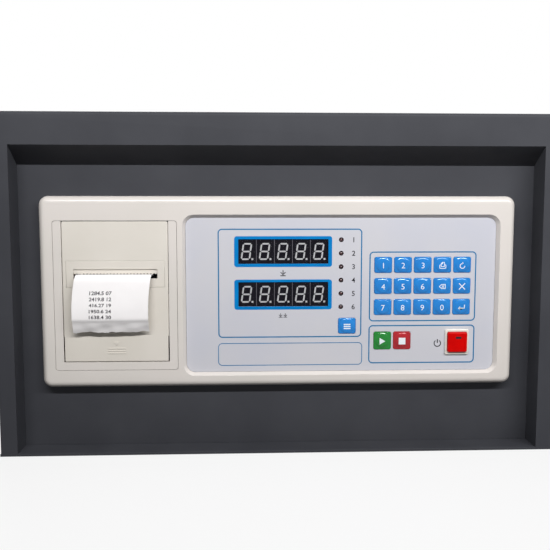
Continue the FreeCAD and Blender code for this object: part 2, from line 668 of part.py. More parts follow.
def cable_grommet():
    """A rubber ring in the cable hole, with a lip above the plate and one groove's fit in it."""
    inner = CABLE_HOLE_RADIUS - GROMMET_WALL
    ring = rod_z(CABLE_HOLE_RADIUS - SEAM, 0, CABLE_HOLE_Y, 0, BASE_PLATE + GROMMET_LIP)
    lip = rod_z(
        CABLE_HOLE_RADIUS + GROMMET_LIP, 0, CABLE_HOLE_Y, BASE_PLATE + SEAM, BASE_PLATE + GROMMET_LIP
    )
    ring = ring.fuse(lip)
    return ring.cut(rod_z(inner, 0, CABLE_HOLE_Y, -1, BASE_PLATE + 2 * GROMMET_LIP)).removeSplitter()


def louvre(x, z):
    """One pressed hood, open below, as a bent strip with closed ends."""
    outline = (
        (COVER_Y + SHEET / 2, z + LOUVRE_HEIGHT / 2),
        (COVER_Y + LOUVRE_DEPTH, z - LOUVRE_HEIGHT / 4),
        (COVER_Y + LOUVRE_DEPTH, z - LOUVRE_HEIGHT / 2),
        (COVER_Y + SHEET / 2, z - LOUVRE_HEIGHT / 2),
    )
    hood = profile_x(outline, x - LOUVRE_WIDTH / 2, x + LOUVRE_WIDTH / 2)
    inside = (
        (COVER_Y, z + LOUVRE_HEIGHT / 2 - LOUVRE_SKIN),
        (COVER_Y + LOUVRE_DEPTH - LOUVRE_SKIN, z - LOUVRE_HEIGHT / 4 - LOUVRE_SKIN / 2),
        (COVER_Y + LOUVRE_DEPTH - LOUVRE_SKIN, z - LOUVRE_HEIGHT),
        (COVER_Y, z - LOUVRE_HEIGHT),
    )
    half = LOUVRE_WIDTH / 2 - LOUVRE_SKIN
    return hood.cut(profile_x(inside, x - half, x + half))


def rear_cover():
    """The screwed cover at the back, with two fields of pressed louvres."""
    half = CONSOLE_WIDTH / 2 - SHEET - SEAM - FOLD_INSIDE
    low = BASE_PLATE + SEAM
    high = CONSOLE_HEIGHT - SHEET - SEAM
    cover = slab(
        0, (low + high) / 2, 2 * half, high - low, SHELL_CORNER, COVER_Y, COVER_Y + SHEET
    )
    half_slot = LOUVRE_WIDTH / 2 - LOUVRE_SKIN
    for side in (-1, 1):
        x = side * LOUVRE_OFFSET_X
        for row in range(LOUVRE_ROWS):
            z = CONSOLE_HEIGHT / 2 + (row - (LOUVRE_ROWS - 1) / 2) * LOUVRE_PITCH
            cover = cover.fuse(louvre(x, z))
            slot_top = z - LOUVRE_HEIGHT / 2 + LOUVRE_SLOT
            cover = cover.cut(
                box(x - half_slot, x + half_slot, COVER_Y, COVER_Y + SHEET,
                    slot_top - LOUVRE_SLOT, slot_top)
            )
    for x, z in cover_fixings():
        cover = cover.cut(rod_y(COVER_SCREW_RADIUS + SEAM / 2, x, z, COVER_Y, COVER_Y + SHEET))
    return cover.removeSplitter()


def cover_screws():
    """The six screws of the rear cover."""
    seat = COVER_Y + SHEET
    return [
        hex_screw(x, z, seat, COVER_SCREW_HEAD_RADIUS, COVER_SCREW_HEAD_HEIGHT, COVER_SCREW_RADIUS,
                  seat - COVER_SCREW_LENGTH)
        for x, z in cover_fixings()
    ]


def case_fixings():
    """Places of the screws that tie the case to the bezel's bosses."""
    x = CASE_HALF_WIDTH - CASE_SHEET - CASE_FLANGE / 2
    z = CASE_HALF_HEIGHT - CASE_SHEET - CASE_SCREW_HEAD_RADIUS - SEAM
    return [(sx * x, on_front(sz * z)) for sx in (-1, 1) for sz in (-1, 1)]


def bezel():
    """The cream moulding: rounded rim, printer window, sloped recess and ledge for the membrane panel."""
    centre_z = BEZEL_CENTRE_Z
    body = slab(0, centre_z, BEZEL_WIDTH, BEZEL_HEIGHT, BEZEL_CORNER, BEZEL_Y, FASCIA_Y)
    body = body.makeFillet(BEZEL_EDGE_ROUND, edges_at(body, BEZEL_Y))
    window_width = PRINTER_FRAME_WIDTH + 2 * PRINTER_WINDOW_GAP
    window_height = PRINTER_FRAME_TOP - PRINTER_FRAME_BOTTOM + 2 * PRINTER_WINDOW_GAP
    window_z = on_front((PRINTER_FRAME_TOP + PRINTER_FRAME_BOTTOM) / 2)
    panel_z = on_front(PANEL_CENTRE_Z)
    cavity = slab(
        0, centre_z, BEZEL_WIDTH - 2 * BEZEL_WALL, BEZEL_HEIGHT - 2 * BEZEL_WALL,
        BEZEL_CORNER - BEZEL_WALL, BEZEL_Y + BEZEL_WALL, FASCIA_Y,
    )
    kept = slab(
        PRINTER_X, window_z, window_width + 2 * BEZEL_RIB, window_height + 2 * BEZEL_RIB,
        PRINTER_FRAME_CORNER, BEZEL_Y, FASCIA_Y,
    )
    grow = 2 * (PANEL_SLOPE + BEZEL_RIB)
    kept = kept.fuse(
        slab(PANEL_CENTRE_X, panel_z, PANEL_WIDTH + grow, PANEL_HEIGHT + grow,
             PANEL_CORNER, BEZEL_Y, LEDGE_BACK_Y)
    )
    for x in (-CLAMP_X, -CLAMP_X / 2, 0.0, CLAMP_X / 2, CLAMP_X):
        kept = kept.fuse(
            box(x - BEZEL_RIB / 2, x + BEZEL_RIB / 2, BEZEL_Y, FASCIA_Y - BEZEL_WALL,
                on_front(-BEZEL_HEIGHT / 2), on_front(BEZEL_HEIGHT / 2))
        )
    for x, z in case_fixings():
        kept = kept.fuse(rod_y(BOSS_RADIUS, x, z, BEZEL_Y, CASE_Y))
    body = body.cut(cavity.cut(kept))
    body = body.cut(
        slab(PRINTER_X, window_z, window_width, window_height, PRINTER_FRAME_CORNER,
             BEZEL_Y - PAST, FASCIA_Y + PAST)
    )
    outer = rounded_outline(
        PANEL_CENTRE_X, panel_z, PANEL_WIDTH + 2 * PANEL_SLOPE, PANEL_HEIGHT + 2 * PANEL_SLOPE,
        PANEL_CORNER + PANEL_SLOPE, BEZEL_Y,
    )
    inner = rounded_outline(
        PANEL_CENTRE_X, panel_z, PANEL_WIDTH, PANEL_HEIGHT, PANEL_CORNER, PANEL_Y
    )
    body = body.cut(Part.makeLoft([outer, inner], True, True))
    body = body.cut(
        slab(PANEL_CENTRE_X, panel_z, PANEL_WIDTH, PANEL_HEIGHT, PANEL_CORNER, PANEL_Y, LEDGE_Y)
    )
    body = body.cut(
        slab(PANEL_CENTRE_X, panel_z, PANEL_WIDTH - 2 * LEDGE, PANEL_HEIGHT - 2 * LEDGE,
             PANEL_CORNER - LEDGE / 2, LEDGE_Y, FASCIA_Y + PAST)
    )
    for x, z in case_fixings():
        body = body.cut(rod_y(CASE_SCREW_RADIUS, x, z, LEDGE_BACK_Y, FASCIA_Y + PAST))
    return body.removeSplitter()


def instrument_case():
    """The sheet tray behind the fascia that closes the instrument's rear."""
    half_w = CASE_HALF_WIDTH
    half_h = CASE_HALF_HEIGHT
    low = on_front(-half_h)
    high = on_front(half_h)
    tray = box(-half_w, half_w, CASE_Y, CASE_REAR_Y, low, high)
    tray = tray.cut(
        box(-half_w + CASE_SHEET, half_w - CASE_SHEET, CASE_Y + CASE_SHEET, CASE_REAR_Y - CASE_SHEET,
            low + CASE_SHEET, high - CASE_SHEET)
    )
    lip = CASE_SHEET + CASE_FLANGE
    tray = tray.cut(
        box(-half_w + lip, half_w - CASE_SHEET, CASE_Y, CASE_Y + CASE_SHEET, low + lip, high - lip)
    )
    keep_x = PANEL_CENTRE_X + PANEL_WIDTH / 2 - LEDGE
    tray = tray.cut(
        box(BUCKET_LEFT - CASE_SHEET, keep_x, CASE_Y, CASE_Y + CASE_SHEET,
            on_front(BUCKET_BOTTOM) - PAST, on_front(BUCKET_TOP) + PAST)
    )
    for x, z in case_fixings():
        tray = tray.cut(rod_y(CASE_SCREW_RADIUS + SEAM / 2, x, z, CASE_Y, CASE_Y + CASE_SHEET))
    return tray


def case_screws():
    """Four screws from the case's flange into the bezel's bosses."""
    return [
        hex_screw(x, z, CASE_Y + CASE_SHEET, CASE_SCREW_HEAD_RADIUS, CASE_SCREW_HEAD_HEIGHT,
                  CASE_SCREW_RADIUS, LEDGE_BACK_Y)
        for x, z in case_fixings()
    ]


def clamp_places():
    """Middle and side of each panel clamp, as (x, side)."""
    return [(x, side) for side in (-1, 1) for x in (-CLAMP_X, CLAMP_X)]


def panel_clamps():
    """Four brackets on the case that pull the bezel against the fascia."""
    clamps = []
    start = FASCIA_Y + RETURN_FLANGE + CLAMP_GAP
    half = CLAMP_WIDTH / 2
    for x, side in clamp_places():
        foot = on_front(side * CASE_HALF_HEIGHT)
        reach = foot + side * CLAMP_REACH
        leg = foot + side * CLAMP_SHEET
        plate = box(x - half, x + half, start, start + CLAMP_FOOT_LENGTH, min(foot, leg), max(foot, leg))
        tab = box(x - half, x + half, start, start + CLAMP_SHEET, min(foot, reach), max(foot, reach))
        hole = rod_y(
            CLAMP_SCREW_RADIUS + SEAM / 2, x, foot + side * CLAMP_SCREW_HEIGHT, start, start + CLAMP_SHEET
        )
        clamps.append(plate.fuse(tab).cut(hole).removeSplitter())
    return clamps


def clamp_screws():
    """The four screws whose tips press on the back of the fascia."""
    seat = FASCIA_Y + RETURN_FLANGE + CLAMP_GAP + CLAMP_SCREW_SPARE
    return [
        hex_screw(x, on_front(side * (CASE_HALF_HEIGHT + CLAMP_SCREW_HEIGHT)), seat,
                  CLAMP_SCREW_HEAD_RADIUS, CLAMP_SCREW_HEAD_HEIGHT, CLAMP_SCREW_RADIUS, FASCIA_Y + SHEET)
        for x, side in clamp_places()
    ]


def panel_outline(y0, y1):
    """The membrane panel's plate between two depths."""
    return slab(
        PANEL_CENTRE_X, on_front(PANEL_CENTRE_Z), PANEL_WIDTH - 2 * PANEL_EDGE_GAP,
        PANEL_HEIGHT - 2 * PANEL_EDGE_GAP, PANEL_CORNER - PANEL_EDGE_GAP, y0, y1,
    )


def readout_block(z, grow, y0, y1):
    """A block behind one readout's window."""
    half_w = READOUT_WIDTH / 2 + grow
    half_h = MODULE_HEIGHT / 2 + grow
    return box(
        READOUT_X - half_w, READOUT_X + half_w, y0, y1, on_front(z) - half_h, on_front(z) + half_h
    )


def lamp_places():
    """Height of each status lamp."""
    return [on_front(LAMP_TOP_Z - index * LAMP_PITCH) for index in range(LAMPS)]


def switch_hole(grow, y0, y1):
    """The hole that the power switch's body passes through."""
    return cut_cornered(
        SWITCH_X, on_front(SWITCH_Z), BUTTON_WIDTH + 2 * (BUTTON_GAP + SWITCH_WALL + grow),
        BUTTON_HEIGHT + 2 * (BUTTON_GAP + SWITCH_WALL + grow), SWITCH_FRAME_CORNER, y0, y1,
    )


def overlay():
    """The printed front film with its spacer, open at the windows, lamps, keys and switch."""
    film = panel_outline(PANEL_Y, PLATE_Y)
    for z in (FORCE_READOUT_Z, RATE_READOUT_Z):
        film = film.cut(readout_block(z, 0, PANEL_Y, PLATE_Y))
    for z in lamp_places():
        film = film.cut(rod_y(LAMP_HOLE_RADIUS, LAMP_X, z, PANEL_Y, PLATE_Y))
    for _, x, z, height in key_layout():
        film = film.cut(
            cut_cornered(x, on_front(z), KEY_WIDTH + 2 * KEY_GAP, height + 2 * KEY_GAP,
                         KEY_CORNER, PANEL_Y, PLATE_Y)
        )
    return film.cut(switch_hole(SEAM, PANEL_Y, PLATE_Y))


def standoff_places():
    """Places of the pillars that carry the keypad board."""
    half_w = PANEL_WIDTH / 2 - LEDGE - STANDOFF_INSET
    half_h = PANEL_HEIGHT / 2 - LEDGE - STANDOFF_INSET
    places = []
    for x in (-half_w, MIDDLE_STANDOFF * half_w, half_w):
        for z in (-half_h, half_h):
            places.append((PANEL_CENTRE_X + x, on_front(PANEL_CENTRE_Z + z)))
    return places


def backing_plate():
    """The aluminium plate under the film."""
    plate = panel_outline(PLATE_Y, LEDGE_Y)
    for z in (FORCE_READOUT_Z, RATE_READOUT_Z):
        plate = plate.cut(readout_block(z, READOUT_CLEARANCE, PLATE_Y, LEDGE_Y))
    lamps = lamp_places()
    plate = plate.cut(
        box(LAMP_X - LAMP_HOLE_RADIUS, LAMP_X + LAMP_HOLE_RADIUS, PLATE_Y, LEDGE_Y,
            min(lamps) - LAMP_HOLE_RADIUS, max(lamps) + LAMP_HOLE_RADIUS)
    )
    for _, x, z, _height in key_layout():
        plate = plate.cut(square_y(x, on_front(z), KEY_STEM + 2 * KEY_STEM_GAP, PLATE_Y, LEDGE_Y))
    return plate.cut(switch_hole(SEAM, PLATE_Y, LEDGE_Y))


def display_windows():
    """Clear films that close the two readout windows."""
    return [
        readout_block(z, -SEAM, PANEL_Y, PANEL_Y + WINDOW_FILM)
        for z in (FORCE_READOUT_Z, RATE_READOUT_Z)
    ]


def digit_centres():
    """Middle of each digit module."""
    return [READOUT_X + (index - (DIGITS - 1) / 2) * DIGIT_PITCH for index in range(DIGITS)]


def digit_modules(z):
    """One readout's row of digit modules, standing on the keypad board."""
    front = PANEL_Y + WINDOW_FILM + READOUT_CLEARANCE + SEGMENT_RELIEF
    half_w = (DIGIT_PITCH - DIGIT_GAP) / 2
    half_h = MODULE_HEIGHT / 2 - SEAM
    return [
        box(x - half_w, x + half_w, front, KEYPAD_BOARD_Y, on_front(z) - half_h, on_front(z) + half_h)
        for x in digit_centres()
    ]


def segment_bar(cx, cz, length, upright):
    """One pointed bar of a digit, before slanting, as (x, z) points."""
    half = length / 2 - SEGMENT_GAP
    tip = SEGMENT_STROKE / 2
    points = ((-half, 0), (-half + tip, tip), (half - tip, tip),
              (half, 0), (half - tip, -tip), (-half + tip, -tip))
    if upright:
        points = tuple((z, x) for x, z in points)
    return [(cx + x, cz + z) for x, z in points]


def digit_segments(z):
    """The light-pipe faces of one readout: seven bars and a point on each module, slanted."""
    front = PANEL_Y + WINDOW_FILM + READOUT_CLEARANCE
    wide = DIGIT_WIDTH - SEGMENT_STROKE
    tall = (DIGIT_HEIGHT - SEGMENT_STROKE) / 2
    bars = [
        segment_bar(0, tall, wide, False), segment_bar(0, 0, wide, False),
        segment_bar(0, -tall, wide, False), segment_bar(-wide / 2, tall / 2, tall, True),
        segment_bar(wide / 2, tall / 2, tall, True), segment_bar(-wide / 2, -tall / 2, tall, True),
        segment_bar(wide / 2, -tall / 2, tall, True),
    ]
    solids = []
    lean = math.tan(DIGIT_SLANT)
    for x in digit_centres():
        for bar in bars:
            points = [(x - DIGIT_SHIFT + px + pz * lean, on_front(z) + pz) for px, pz in bar]
            solids.append(profile_y(points, front, front + SEGMENT_RELIEF))
        point_x = x - DIGIT_SHIFT + wide / 2 + SEGMENT_STROKE + POINT_SIZE / 2 - tall * lean / 2
        solids.append(
            square_y(point_x, on_front(z) - tall, POINT_SIZE, front, front + SEGMENT_RELIEF)
        )
    return solids


def status_lamps():
    """Six indicator lamps with tapered noses, on legs down to the board."""
    lamps = []
    tip = PANEL_Y + READOUT_CLEARANCE
    rear = KEYPAD_BOARD_Y - LAMP_LEG_LENGTH
    for z in lamp_places():
        nose = Part.makeCone(
            LAMP_RADIUS / 2, LAMP_RADIUS, LAMP_NOSE, FreeCAD.Vector(LAMP_X, tip, z),
            FreeCAD.Vector(0, 1, 0),
        )
        lamp = nose.fuse(rod_y(LAMP_RADIUS, LAMP_X, z, tip + LAMP_NOSE, rear))
        for side in (-1, 1):
            x = LAMP_X + side * (LAMP_LEG_SPACING - LAMP_LEG) / 2
            lamp = lamp.fuse(square_y(x, z, LAMP_LEG, rear, KEYPAD_BOARD_Y))
        lamps.append(lamp.removeSplitter())
    return lamps


def actuator_tip():
    """Depth of the front end of each push switch's actuator."""
    return KEYPAD_BOARD_Y - TACT_BODY - TACT_ACTUATOR_LENGTH


def key_cap(x, z, height):
    """An embossed key: flat cap with a round bump, and the stem that reaches its switch."""
    front = PANEL_Y - KEY_PROUD
    seat = PLATE_Y - KEY_TRAVEL - KEY_GAP
    cap = cut_cornered(x, on_front(z), KEY_WIDTH, height, KEY_CORNER, front, seat)
    bump = Part.makeCone(
        KEY_BUMP_RADIUS, KEY_BUMP_TOP_RADIUS, KEY_BUMP_HEIGHT,
        FreeCAD.Vector(x, front, on_front(z)), FreeCAD.Vector(0, -1, 0),
    )
    stem_end = actuator_tip() - KEY_TRAVEL - TACT_CLEARANCE
    return cap.fuse(bump).fuse(square_y(x, on_front(z), KEY_STEM, seat, stem_end)).removeSplitter()


def tact_switches():
    """A push switch on the board behind each key."""
    switches = []
    top = KEYPAD_BOARD_Y - TACT_BODY
    for _, x, z, _height in key_layout():
        body = square_y(x, on_front(z), TACT_SIDE, top, KEYPAD_BOARD_Y)
        switches.append(body.fuse(square_y(x, on_front(z), TACT_ACTUATOR, actuator_tip(), top)))
    return switches


def keypad_board():
    """The board behind the panel, with a gap round the power switch."""
    half_w = PANEL_WIDTH / 2 - LEDGE - BOARD_EDGE_GAP
    half_h = PANEL_HEIGHT / 2 - LEDGE - BOARD_EDGE_GAP
    z = on_front(PANEL_CENTRE_Z)
    board = box(
        PANEL_CENTRE_X - half_w, PANEL_CENTRE_X + half_w,
        KEYPAD_BOARD_Y, KEYPAD_BOARD_Y + BOARD_THICKNESS, z - half_h, z + half_h,
    )
    return board.cut(switch_hole(BOARD_SWITCH_GAP, KEYPAD_BOARD_Y, KEYPAD_BOARD_Y + BOARD_THICKNESS))


def board_standoffs():
    """Pillars between the backing plate and the keypad board."""
    return [hexagon_y(x, z, STANDOFF_RADIUS, LEDGE_Y, KEYPAD_BOARD_Y) for x, z in standoff_places()]


def switch_body():
    """Frame and hollow body of the power switch, with its solder lugs."""
    z = on_front(SWITCH_Z)
    frame_y = PANEL_Y - SWITCH_FRAME_THICKNESS
    rear = PANEL_Y + SWITCH_DEPTH
    frame = cut_cornered(
        SWITCH_X, z, SWITCH_FRAME_WIDTH, SWITCH_FRAME_HEIGHT, SWITCH_FRAME_CORNER, frame_y, PANEL_Y
    )
    frame = frame.makeChamfer(SWITCH_FRAME_EDGE, edges_at(frame, frame_y))
    body = frame.fuse(switch_hole(0, PANEL_Y, rear))
    floor = frame_y - BUTTON_PROUD + BUTTON_LENGTH + BUTTON_TRAVEL + BUTTON_GAP
    cavity = cut_cornered(
        SWITCH_X, z, BUTTON_WIDTH + 2 * BUTTON_GAP, BUTTON_HEIGHT + 2 * BUTTON_GAP,
        SWITCH_FRAME_CORNER, frame_y, floor,
    )
    body = body.cut(cavity)
    thick, long, wide = SWITCH_LUG
    for dx in (-LUG_OFFSET, LUG_OFFSET):
        for dz in (-LUG_OFFSET, LUG_OFFSET):
            body = body.fuse(
                box(SWITCH_X + dx - wide / 2, SWITCH_X + dx + wide / 2, rear, rear + long,
                    z + dz - thick / 2, z + dz + thick / 2)
            )
    return body.removeSplitter()


def power_button():
    """The square red button of the power switch."""
    front = PANEL_Y - SWITCH_FRAME_THICKNESS - BUTTON_PROUD
    button = cut_cornered(
        SWITCH_X, on_front(SWITCH_Z), BUTTON_WIDTH, BUTTON_HEIGHT, SWITCH_FRAME_CORNER,
        front, front + BUTTON_LENGTH,
    )
    return button.makeChamfer(BUTTON_EDGE, edges_at(button, front))


def main_board():
    """The measuring board near the case's rear wall, with pillars and its larger components."""
    rear = CASE_REAR_Y - CASE_SHEET
    board_y = rear - MAIN_BOARD_STANDOFF - BOARD_THICKNESS
    half_w = MAIN_BOARD_WIDTH / 2
    half_h = MAIN_BOARD_HEIGHT / 2
    low = on_front(-half_h)
    board = box(
        MAIN_BOARD_X - half_w, MAIN_BOARD_X + half_w, board_y, board_y + BOARD_THICKNESS,
        low, low + MAIN_BOARD_HEIGHT,
    )
    solids = [board]
    for sx in (-1, 1):
        for sz in (-1, 1):
            x = MAIN_BOARD_X + sx * (half_w - STANDOFF_INSET)
            z = on_front(sz * (half_h - STANDOFF_INSET))
            solids.append(hexagon_y(x, z, STANDOFF_RADIUS, board_y + BOARD_THICKNESS, rear))
    return solids


def board_components():
    """Chips, terminal strip and capacitors on the measuring board's front, placed by shares of the board."""
    board_y = CASE_REAR_Y - CASE_SHEET - MAIN_BOARD_STANDOFF - BOARD_THICKNESS
    solids = []
    for across, up, wide, tall, height in (
        (-0.27, 0.21, 0.20, 0.12, CHIP_HEIGHT),
        (-0.27, -0.05, 0.24, 0.15, CHIP_HEIGHT),
        (0.00, 0.23, 0.15, 0.23, CHIP_HEIGHT),
        (0.03, -0.08, 0.09, 0.30, CHIP_HEIGHT),
        (0.00, -0.40, 0.73, 0.10, TERMINAL_HEIGHT),
    ):
        x = MAIN_BOARD_X + across * MAIN_BOARD_WIDTH
        z = on_front(up * MAIN_BOARD_HEIGHT)
        half_w = wide * MAIN_BOARD_WIDTH / 2
        half_h = tall * MAIN_BOARD_HEIGHT / 2
        solids.append(box(x - half_w, x + half_w, board_y - height, board_y, z - half_h, z + half_h))
    for across in (0.23, 0.36):
        x = MAIN_BOARD_X + across * MAIN_BOARD_WIDTH
        z = on_front(0.21 * MAIN_BOARD_HEIGHT)
        solids.append(rod_y(CAPACITOR_RADIUS, x, z, board_y - CAPACITOR_HEIGHT, board_y))
    return solids


def mains_transformer():
    """Laminated transformer standing on the case's floor, with its feet and winding."""
    wide, deep, high = TRANSFORMER
    x = CASE_HALF_WIDTH - CASE_SHEET - TRANSFORMER_MARGIN - wide / 2
    floor = on_front(-CASE_HALF_HEIGHT) + CASE_SHEET
    middle = CASE_REAR_Y - CASE_SHEET - TRANSFORMER_GAP - deep / 2
    core = box(x - wide / 2, x + wide / 2, middle - deep / 4, middle + deep / 4, floor, floor + high)
    coil = box(x - wide / 3, x + wide / 3, middle - deep / 2, middle + deep / 2,
               floor + high / 5, floor + 4 * high / 5)
    reach = wide / 2 + TRANSFORMER_FOOT_REACH
    foot = box(x - reach, x + reach, middle - deep / 5, middle + deep / 5, floor,
               floor + TRANSFORMER_FOOT)
    return core.fuse(coil).fuse(foot).removeSplitter()


def printer_frame():
    """Fixed frame of the printer: front flange, paper bucket, gear post and motor bulkhead."""
    top = on_front(PRINTER_FRAME_TOP)
    bottom = on_front(PRINTER_FRAME_BOTTOM)
    flange = slab(
        PRINTER_X, (top + bottom) / 2, PRINTER_FRAME_WIDTH, top - bottom, PRINTER_FRAME_CORNER,
        BEZEL_Y, BUCKET_FRONT_Y,
    )
    half_door = DOOR_WIDTH / 2 + DOOR_GAP
    flange = flange.cut(
        box(PRINTER_X - half_door, PRINTER_X + half_door, BEZEL_Y - PAST, BUCKET_FRONT_Y + PAST,
            on_front(DOOR_BOTTOM) - DOOR_GAP, top + PAST)
    )
    bucket = box(BUCKET_LEFT, BUCKET_RIGHT, BUCKET_FRONT_Y, BUCKET_REAR_Y,
                 on_front(BUCKET_BOTTOM), on_front(BUCKET_TOP))
    bucket = bucket.cut(
        box(BUCKET_INSIDE_LEFT, BUCKET_INSIDE_RIGHT, BUCKET_FRONT_Y, BUCKET_REAR_Y - BUCKET_WALL,
            on_front(BUCKET_BOTTOM) + BUCKET_WALL, on_front(BUCKET_TOP) - BUCKET_WALL)
    )
    bucket = bucket.cut(
        box(PRINTER_X - half_door, PRINTER_X + half_door, BUCKET_FRONT_Y,
            BUCKET_FRONT_Y + DOOR_GAP, on_front(BUCKET_TOP) - BUCKET_WALL, top)
    )
    frame = flange.fuse(bucket)
    pin_hole = HINGE_PIN_RADIUS + HINGE_CLEARANCE
    frame = frame.cut(rod_x(pin_hole, BUCKET_LEFT, BUCKET_INSIDE_LEFT, HINGE_Y, HINGE_AXIS_Z))
    frame = frame.cut(rod_x(pin_hole, BUCKET_INSIDE_RIGHT, BUCKET_RIGHT, HINGE_Y, HINGE_AXIS_Z))
    frame = frame.fuse(rod_x(SHAFT_RADIUS, BUCKET_INSIDE_LEFT - SINK, GEAR_RIGHT, IDLER_Y, IDLER_Z))
    bulkhead_left = GEAR_RIGHT + GEAR_WALL_GAP / 2
    bulkhead = box(
        bulkhead_left, bulkhead_left + BULKHEAD, IDLER_Y + 2 * SHAFT_RADIUS, BUCKET_REAR_Y - BUCKET_WALL / 2,
        on_front(HEAD_TOP) + BULKHEAD_ABOVE_HEAD, on_front(BUCKET_TOP) - BUCKET_WALL / 2,
    )
    bulkhead = bulkhead.cut(
        rod_x(2 * MOTOR_SHAFT_RADIUS, bulkhead_left, bulkhead_left + BULKHEAD, PINION_Y, PINION_Z)
    )
    return frame.fuse(bulkhead).removeSplitter()


def printer_door():
    """The tilting door: face, stiffening ribs, hinge ears with pins, platen arms and push marks."""
    top = on_front(DOOR_TOP)
    bottom = on_front(DOOR_BOTTOM)
    inside_y = BEZEL_Y + DOOR_THICKNESS
    panel = cut_cornered(PRINTER_X, (top + bottom) / 2, DOOR_WIDTH, top - bottom, DOOR_CORNER,
                         BEZEL_Y, inside_y)
    panel = panel.makeChamfer(DOOR_EDGE, edges_at(panel, BEZEL_Y))
    half = DOOR_WIDTH / 2
    rib_top = on_front(BUCKET_TOP) - BUCKET_WALL - DOOR_GAP
    for side in (-1, 1):
        edge = PRINTER_X + side * half
        inner = edge - side * DOOR_LOWER_RELIEF
        panel = panel.cut(
            box(min(edge, inner), max(edge, inner), BEZEL_Y - PAST, inside_y + PAST, bottom - PAST, HINGE_AXIS_Z)
        )
        rib_edge = edge - side * (2 * DOOR_LOWER_RELIEF)
        rib_inner = rib_edge - side * DOOR_RIB
        panel = panel.fuse(
            box(min(rib_edge, rib_inner), max(rib_edge, rib_inner), inside_y - SINK,
                inside_y + DOOR_RIB_DEPTH, HINGE_AXIS_Z, rib_top)
        )
        ear_inner = rib_edge - side * HINGE_EAR
        ear = box(min(rib_edge, ear_inner), max(rib_edge, ear_inner), inside_y - SINK,
                  HINGE_Y + HINGE_EAR_HEIGHT / 2, HINGE_AXIS_Z - HINGE_EAR_HEIGHT / 2,
                  HINGE_AXIS_Z + HINGE_EAR_HEIGHT / 2)
        pin_end = PRINTER_X + side * (BUCKET_WIDTH / 2 - PIN_SETBACK)
        pin = rod_x(HINGE_PIN_RADIUS, min(pin_end, ear_inner), max(pin_end, ear_inner),
                    HINGE_Y, HINGE_AXIS_Z)
        arm_near = PRINTER_X + side * (PLATEN_LENGTH / 2 + ARM_GAP)
        arm_far = arm_near + side * ARM_THICKNESS
        arm = box(min(arm_near, arm_far), max(arm_near, arm_far), inside_y - SINK,
                  PLATEN_Y + ARM_REACH_BEHIND_AXIS, PLATEN_AXIS_Z - ARM_BELOW_AXIS,
                  PLATEN_AXIS_Z + ARM_ABOVE_AXIS)
        arm = arm.cut(rod_x(SHAFT_RADIUS + SHAFT_CLEARANCE, min(arm_near, arm_far),
                            max(arm_near, arm_far), PLATEN_Y, PLATEN_AXIS_Z))
        panel = panel.fuse(ear).fuse(pin).fuse(arm)
    rib_end = half - 2 * DOOR_LOWER_RELIEF
    top_rib = box(PRINTER_X - rib_end, PRINTER_X + rib_end, inside_y - SINK, inside_y + DOOR_RIB_DEPTH,
                  rib_top - DOOR_RIB, rib_top)
    panel = panel.fuse(top_rib)
    window = box(
        PRINTER_X - EXIT_WIDTH / 2, PRINTER_X + EXIT_WIDTH / 2, BEZEL_Y - PAST, inside_y,
        on_front(EXIT_BOTTOM), on_front(EXIT_TOP),
    )
    panel = panel.cut(window)
    half_rib = PUSH_RIB_WIDTH / 2
    half_high = PUSH_RIB_HEIGHT / 2
    for row in range(PUSH_RIBS):
        z = on_front(PUSH_MARK_Z) - PUSH_RIB_OFFSET - row * PUSH_RIB_PITCH
        panel = panel.fuse(
            box(PRINTER_X - half_rib, PRINTER_X + half_rib, BEZEL_Y - PUSH_RELIEF, BEZEL_Y + SINK,
                z - half_high, z + half_high)
        )
    tip_z = on_front(PUSH_MARK_Z) + PUSH_TRIANGLE_OFFSET
    base_z = tip_z + PUSH_TRIANGLE_HEIGHT
    half_base = PUSH_TRIANGLE_WIDTH / 2
    triangle = profile_y(
        ((PRINTER_X - half_base, base_z), (PRINTER_X + half_base, base_z), (PRINTER_X, tip_z)),
        BEZEL_Y - PUSH_RELIEF, BEZEL_Y + SINK,
    )
    return panel.fuse(triangle).removeSplitter()


def paper_exit():
    """The insert with the paper slot and the toothed tear edge above it."""
    inside_y = BEZEL_Y + DOOR_THICKNESS
    insert = box(
        PRINTER_X - EXIT_WIDTH / 2 + EXIT_GAP, PRINTER_X + EXIT_WIDTH / 2 - EXIT_GAP,
        BEZEL_Y, inside_y, on_front(EXIT_BOTTOM) + EXIT_GAP, on_front(EXIT_TOP) - EXIT_GAP,
    )
    insert = insert.makeChamfer(DOOR_EDGE / 2, edges_at(insert, BEZEL_Y))
    half = SLOT_WIDTH / 2
    insert = insert.cut(
        box(PRINTER_X - half, PRINTER_X + half, BEZEL_Y - PAST, BEZEL_Y + TEAR_STEP_DEPTH,
            on_front(SLOT_BOTTOM), on_front(TEAR_STEP_TOP))
    )
    pitch = SLOT_WIDTH / TEAR_TEETH
    slot = [(PRINTER_X - half, on_front(SLOT_BOTTOM))]
    for tooth in range(TEAR_TEETH):
        left = PRINTER_X - half + tooth * pitch
        slot.append((left, on_front(SLOT_TOP)))
        slot.append((left + pitch / 2, on_front(SLOT_TOP) - TEAR_TOOTH_DEPTH))
    slot.append((PRINTER_X + half, on_front(SLOT_TOP)))
    slot.append((PRINTER_X + half, on_front(SLOT_BOTTOM)))
    return insert.cut(profile_y(slot, BEZEL_Y - PAST, inside_y + PAST)).removeSplitter()


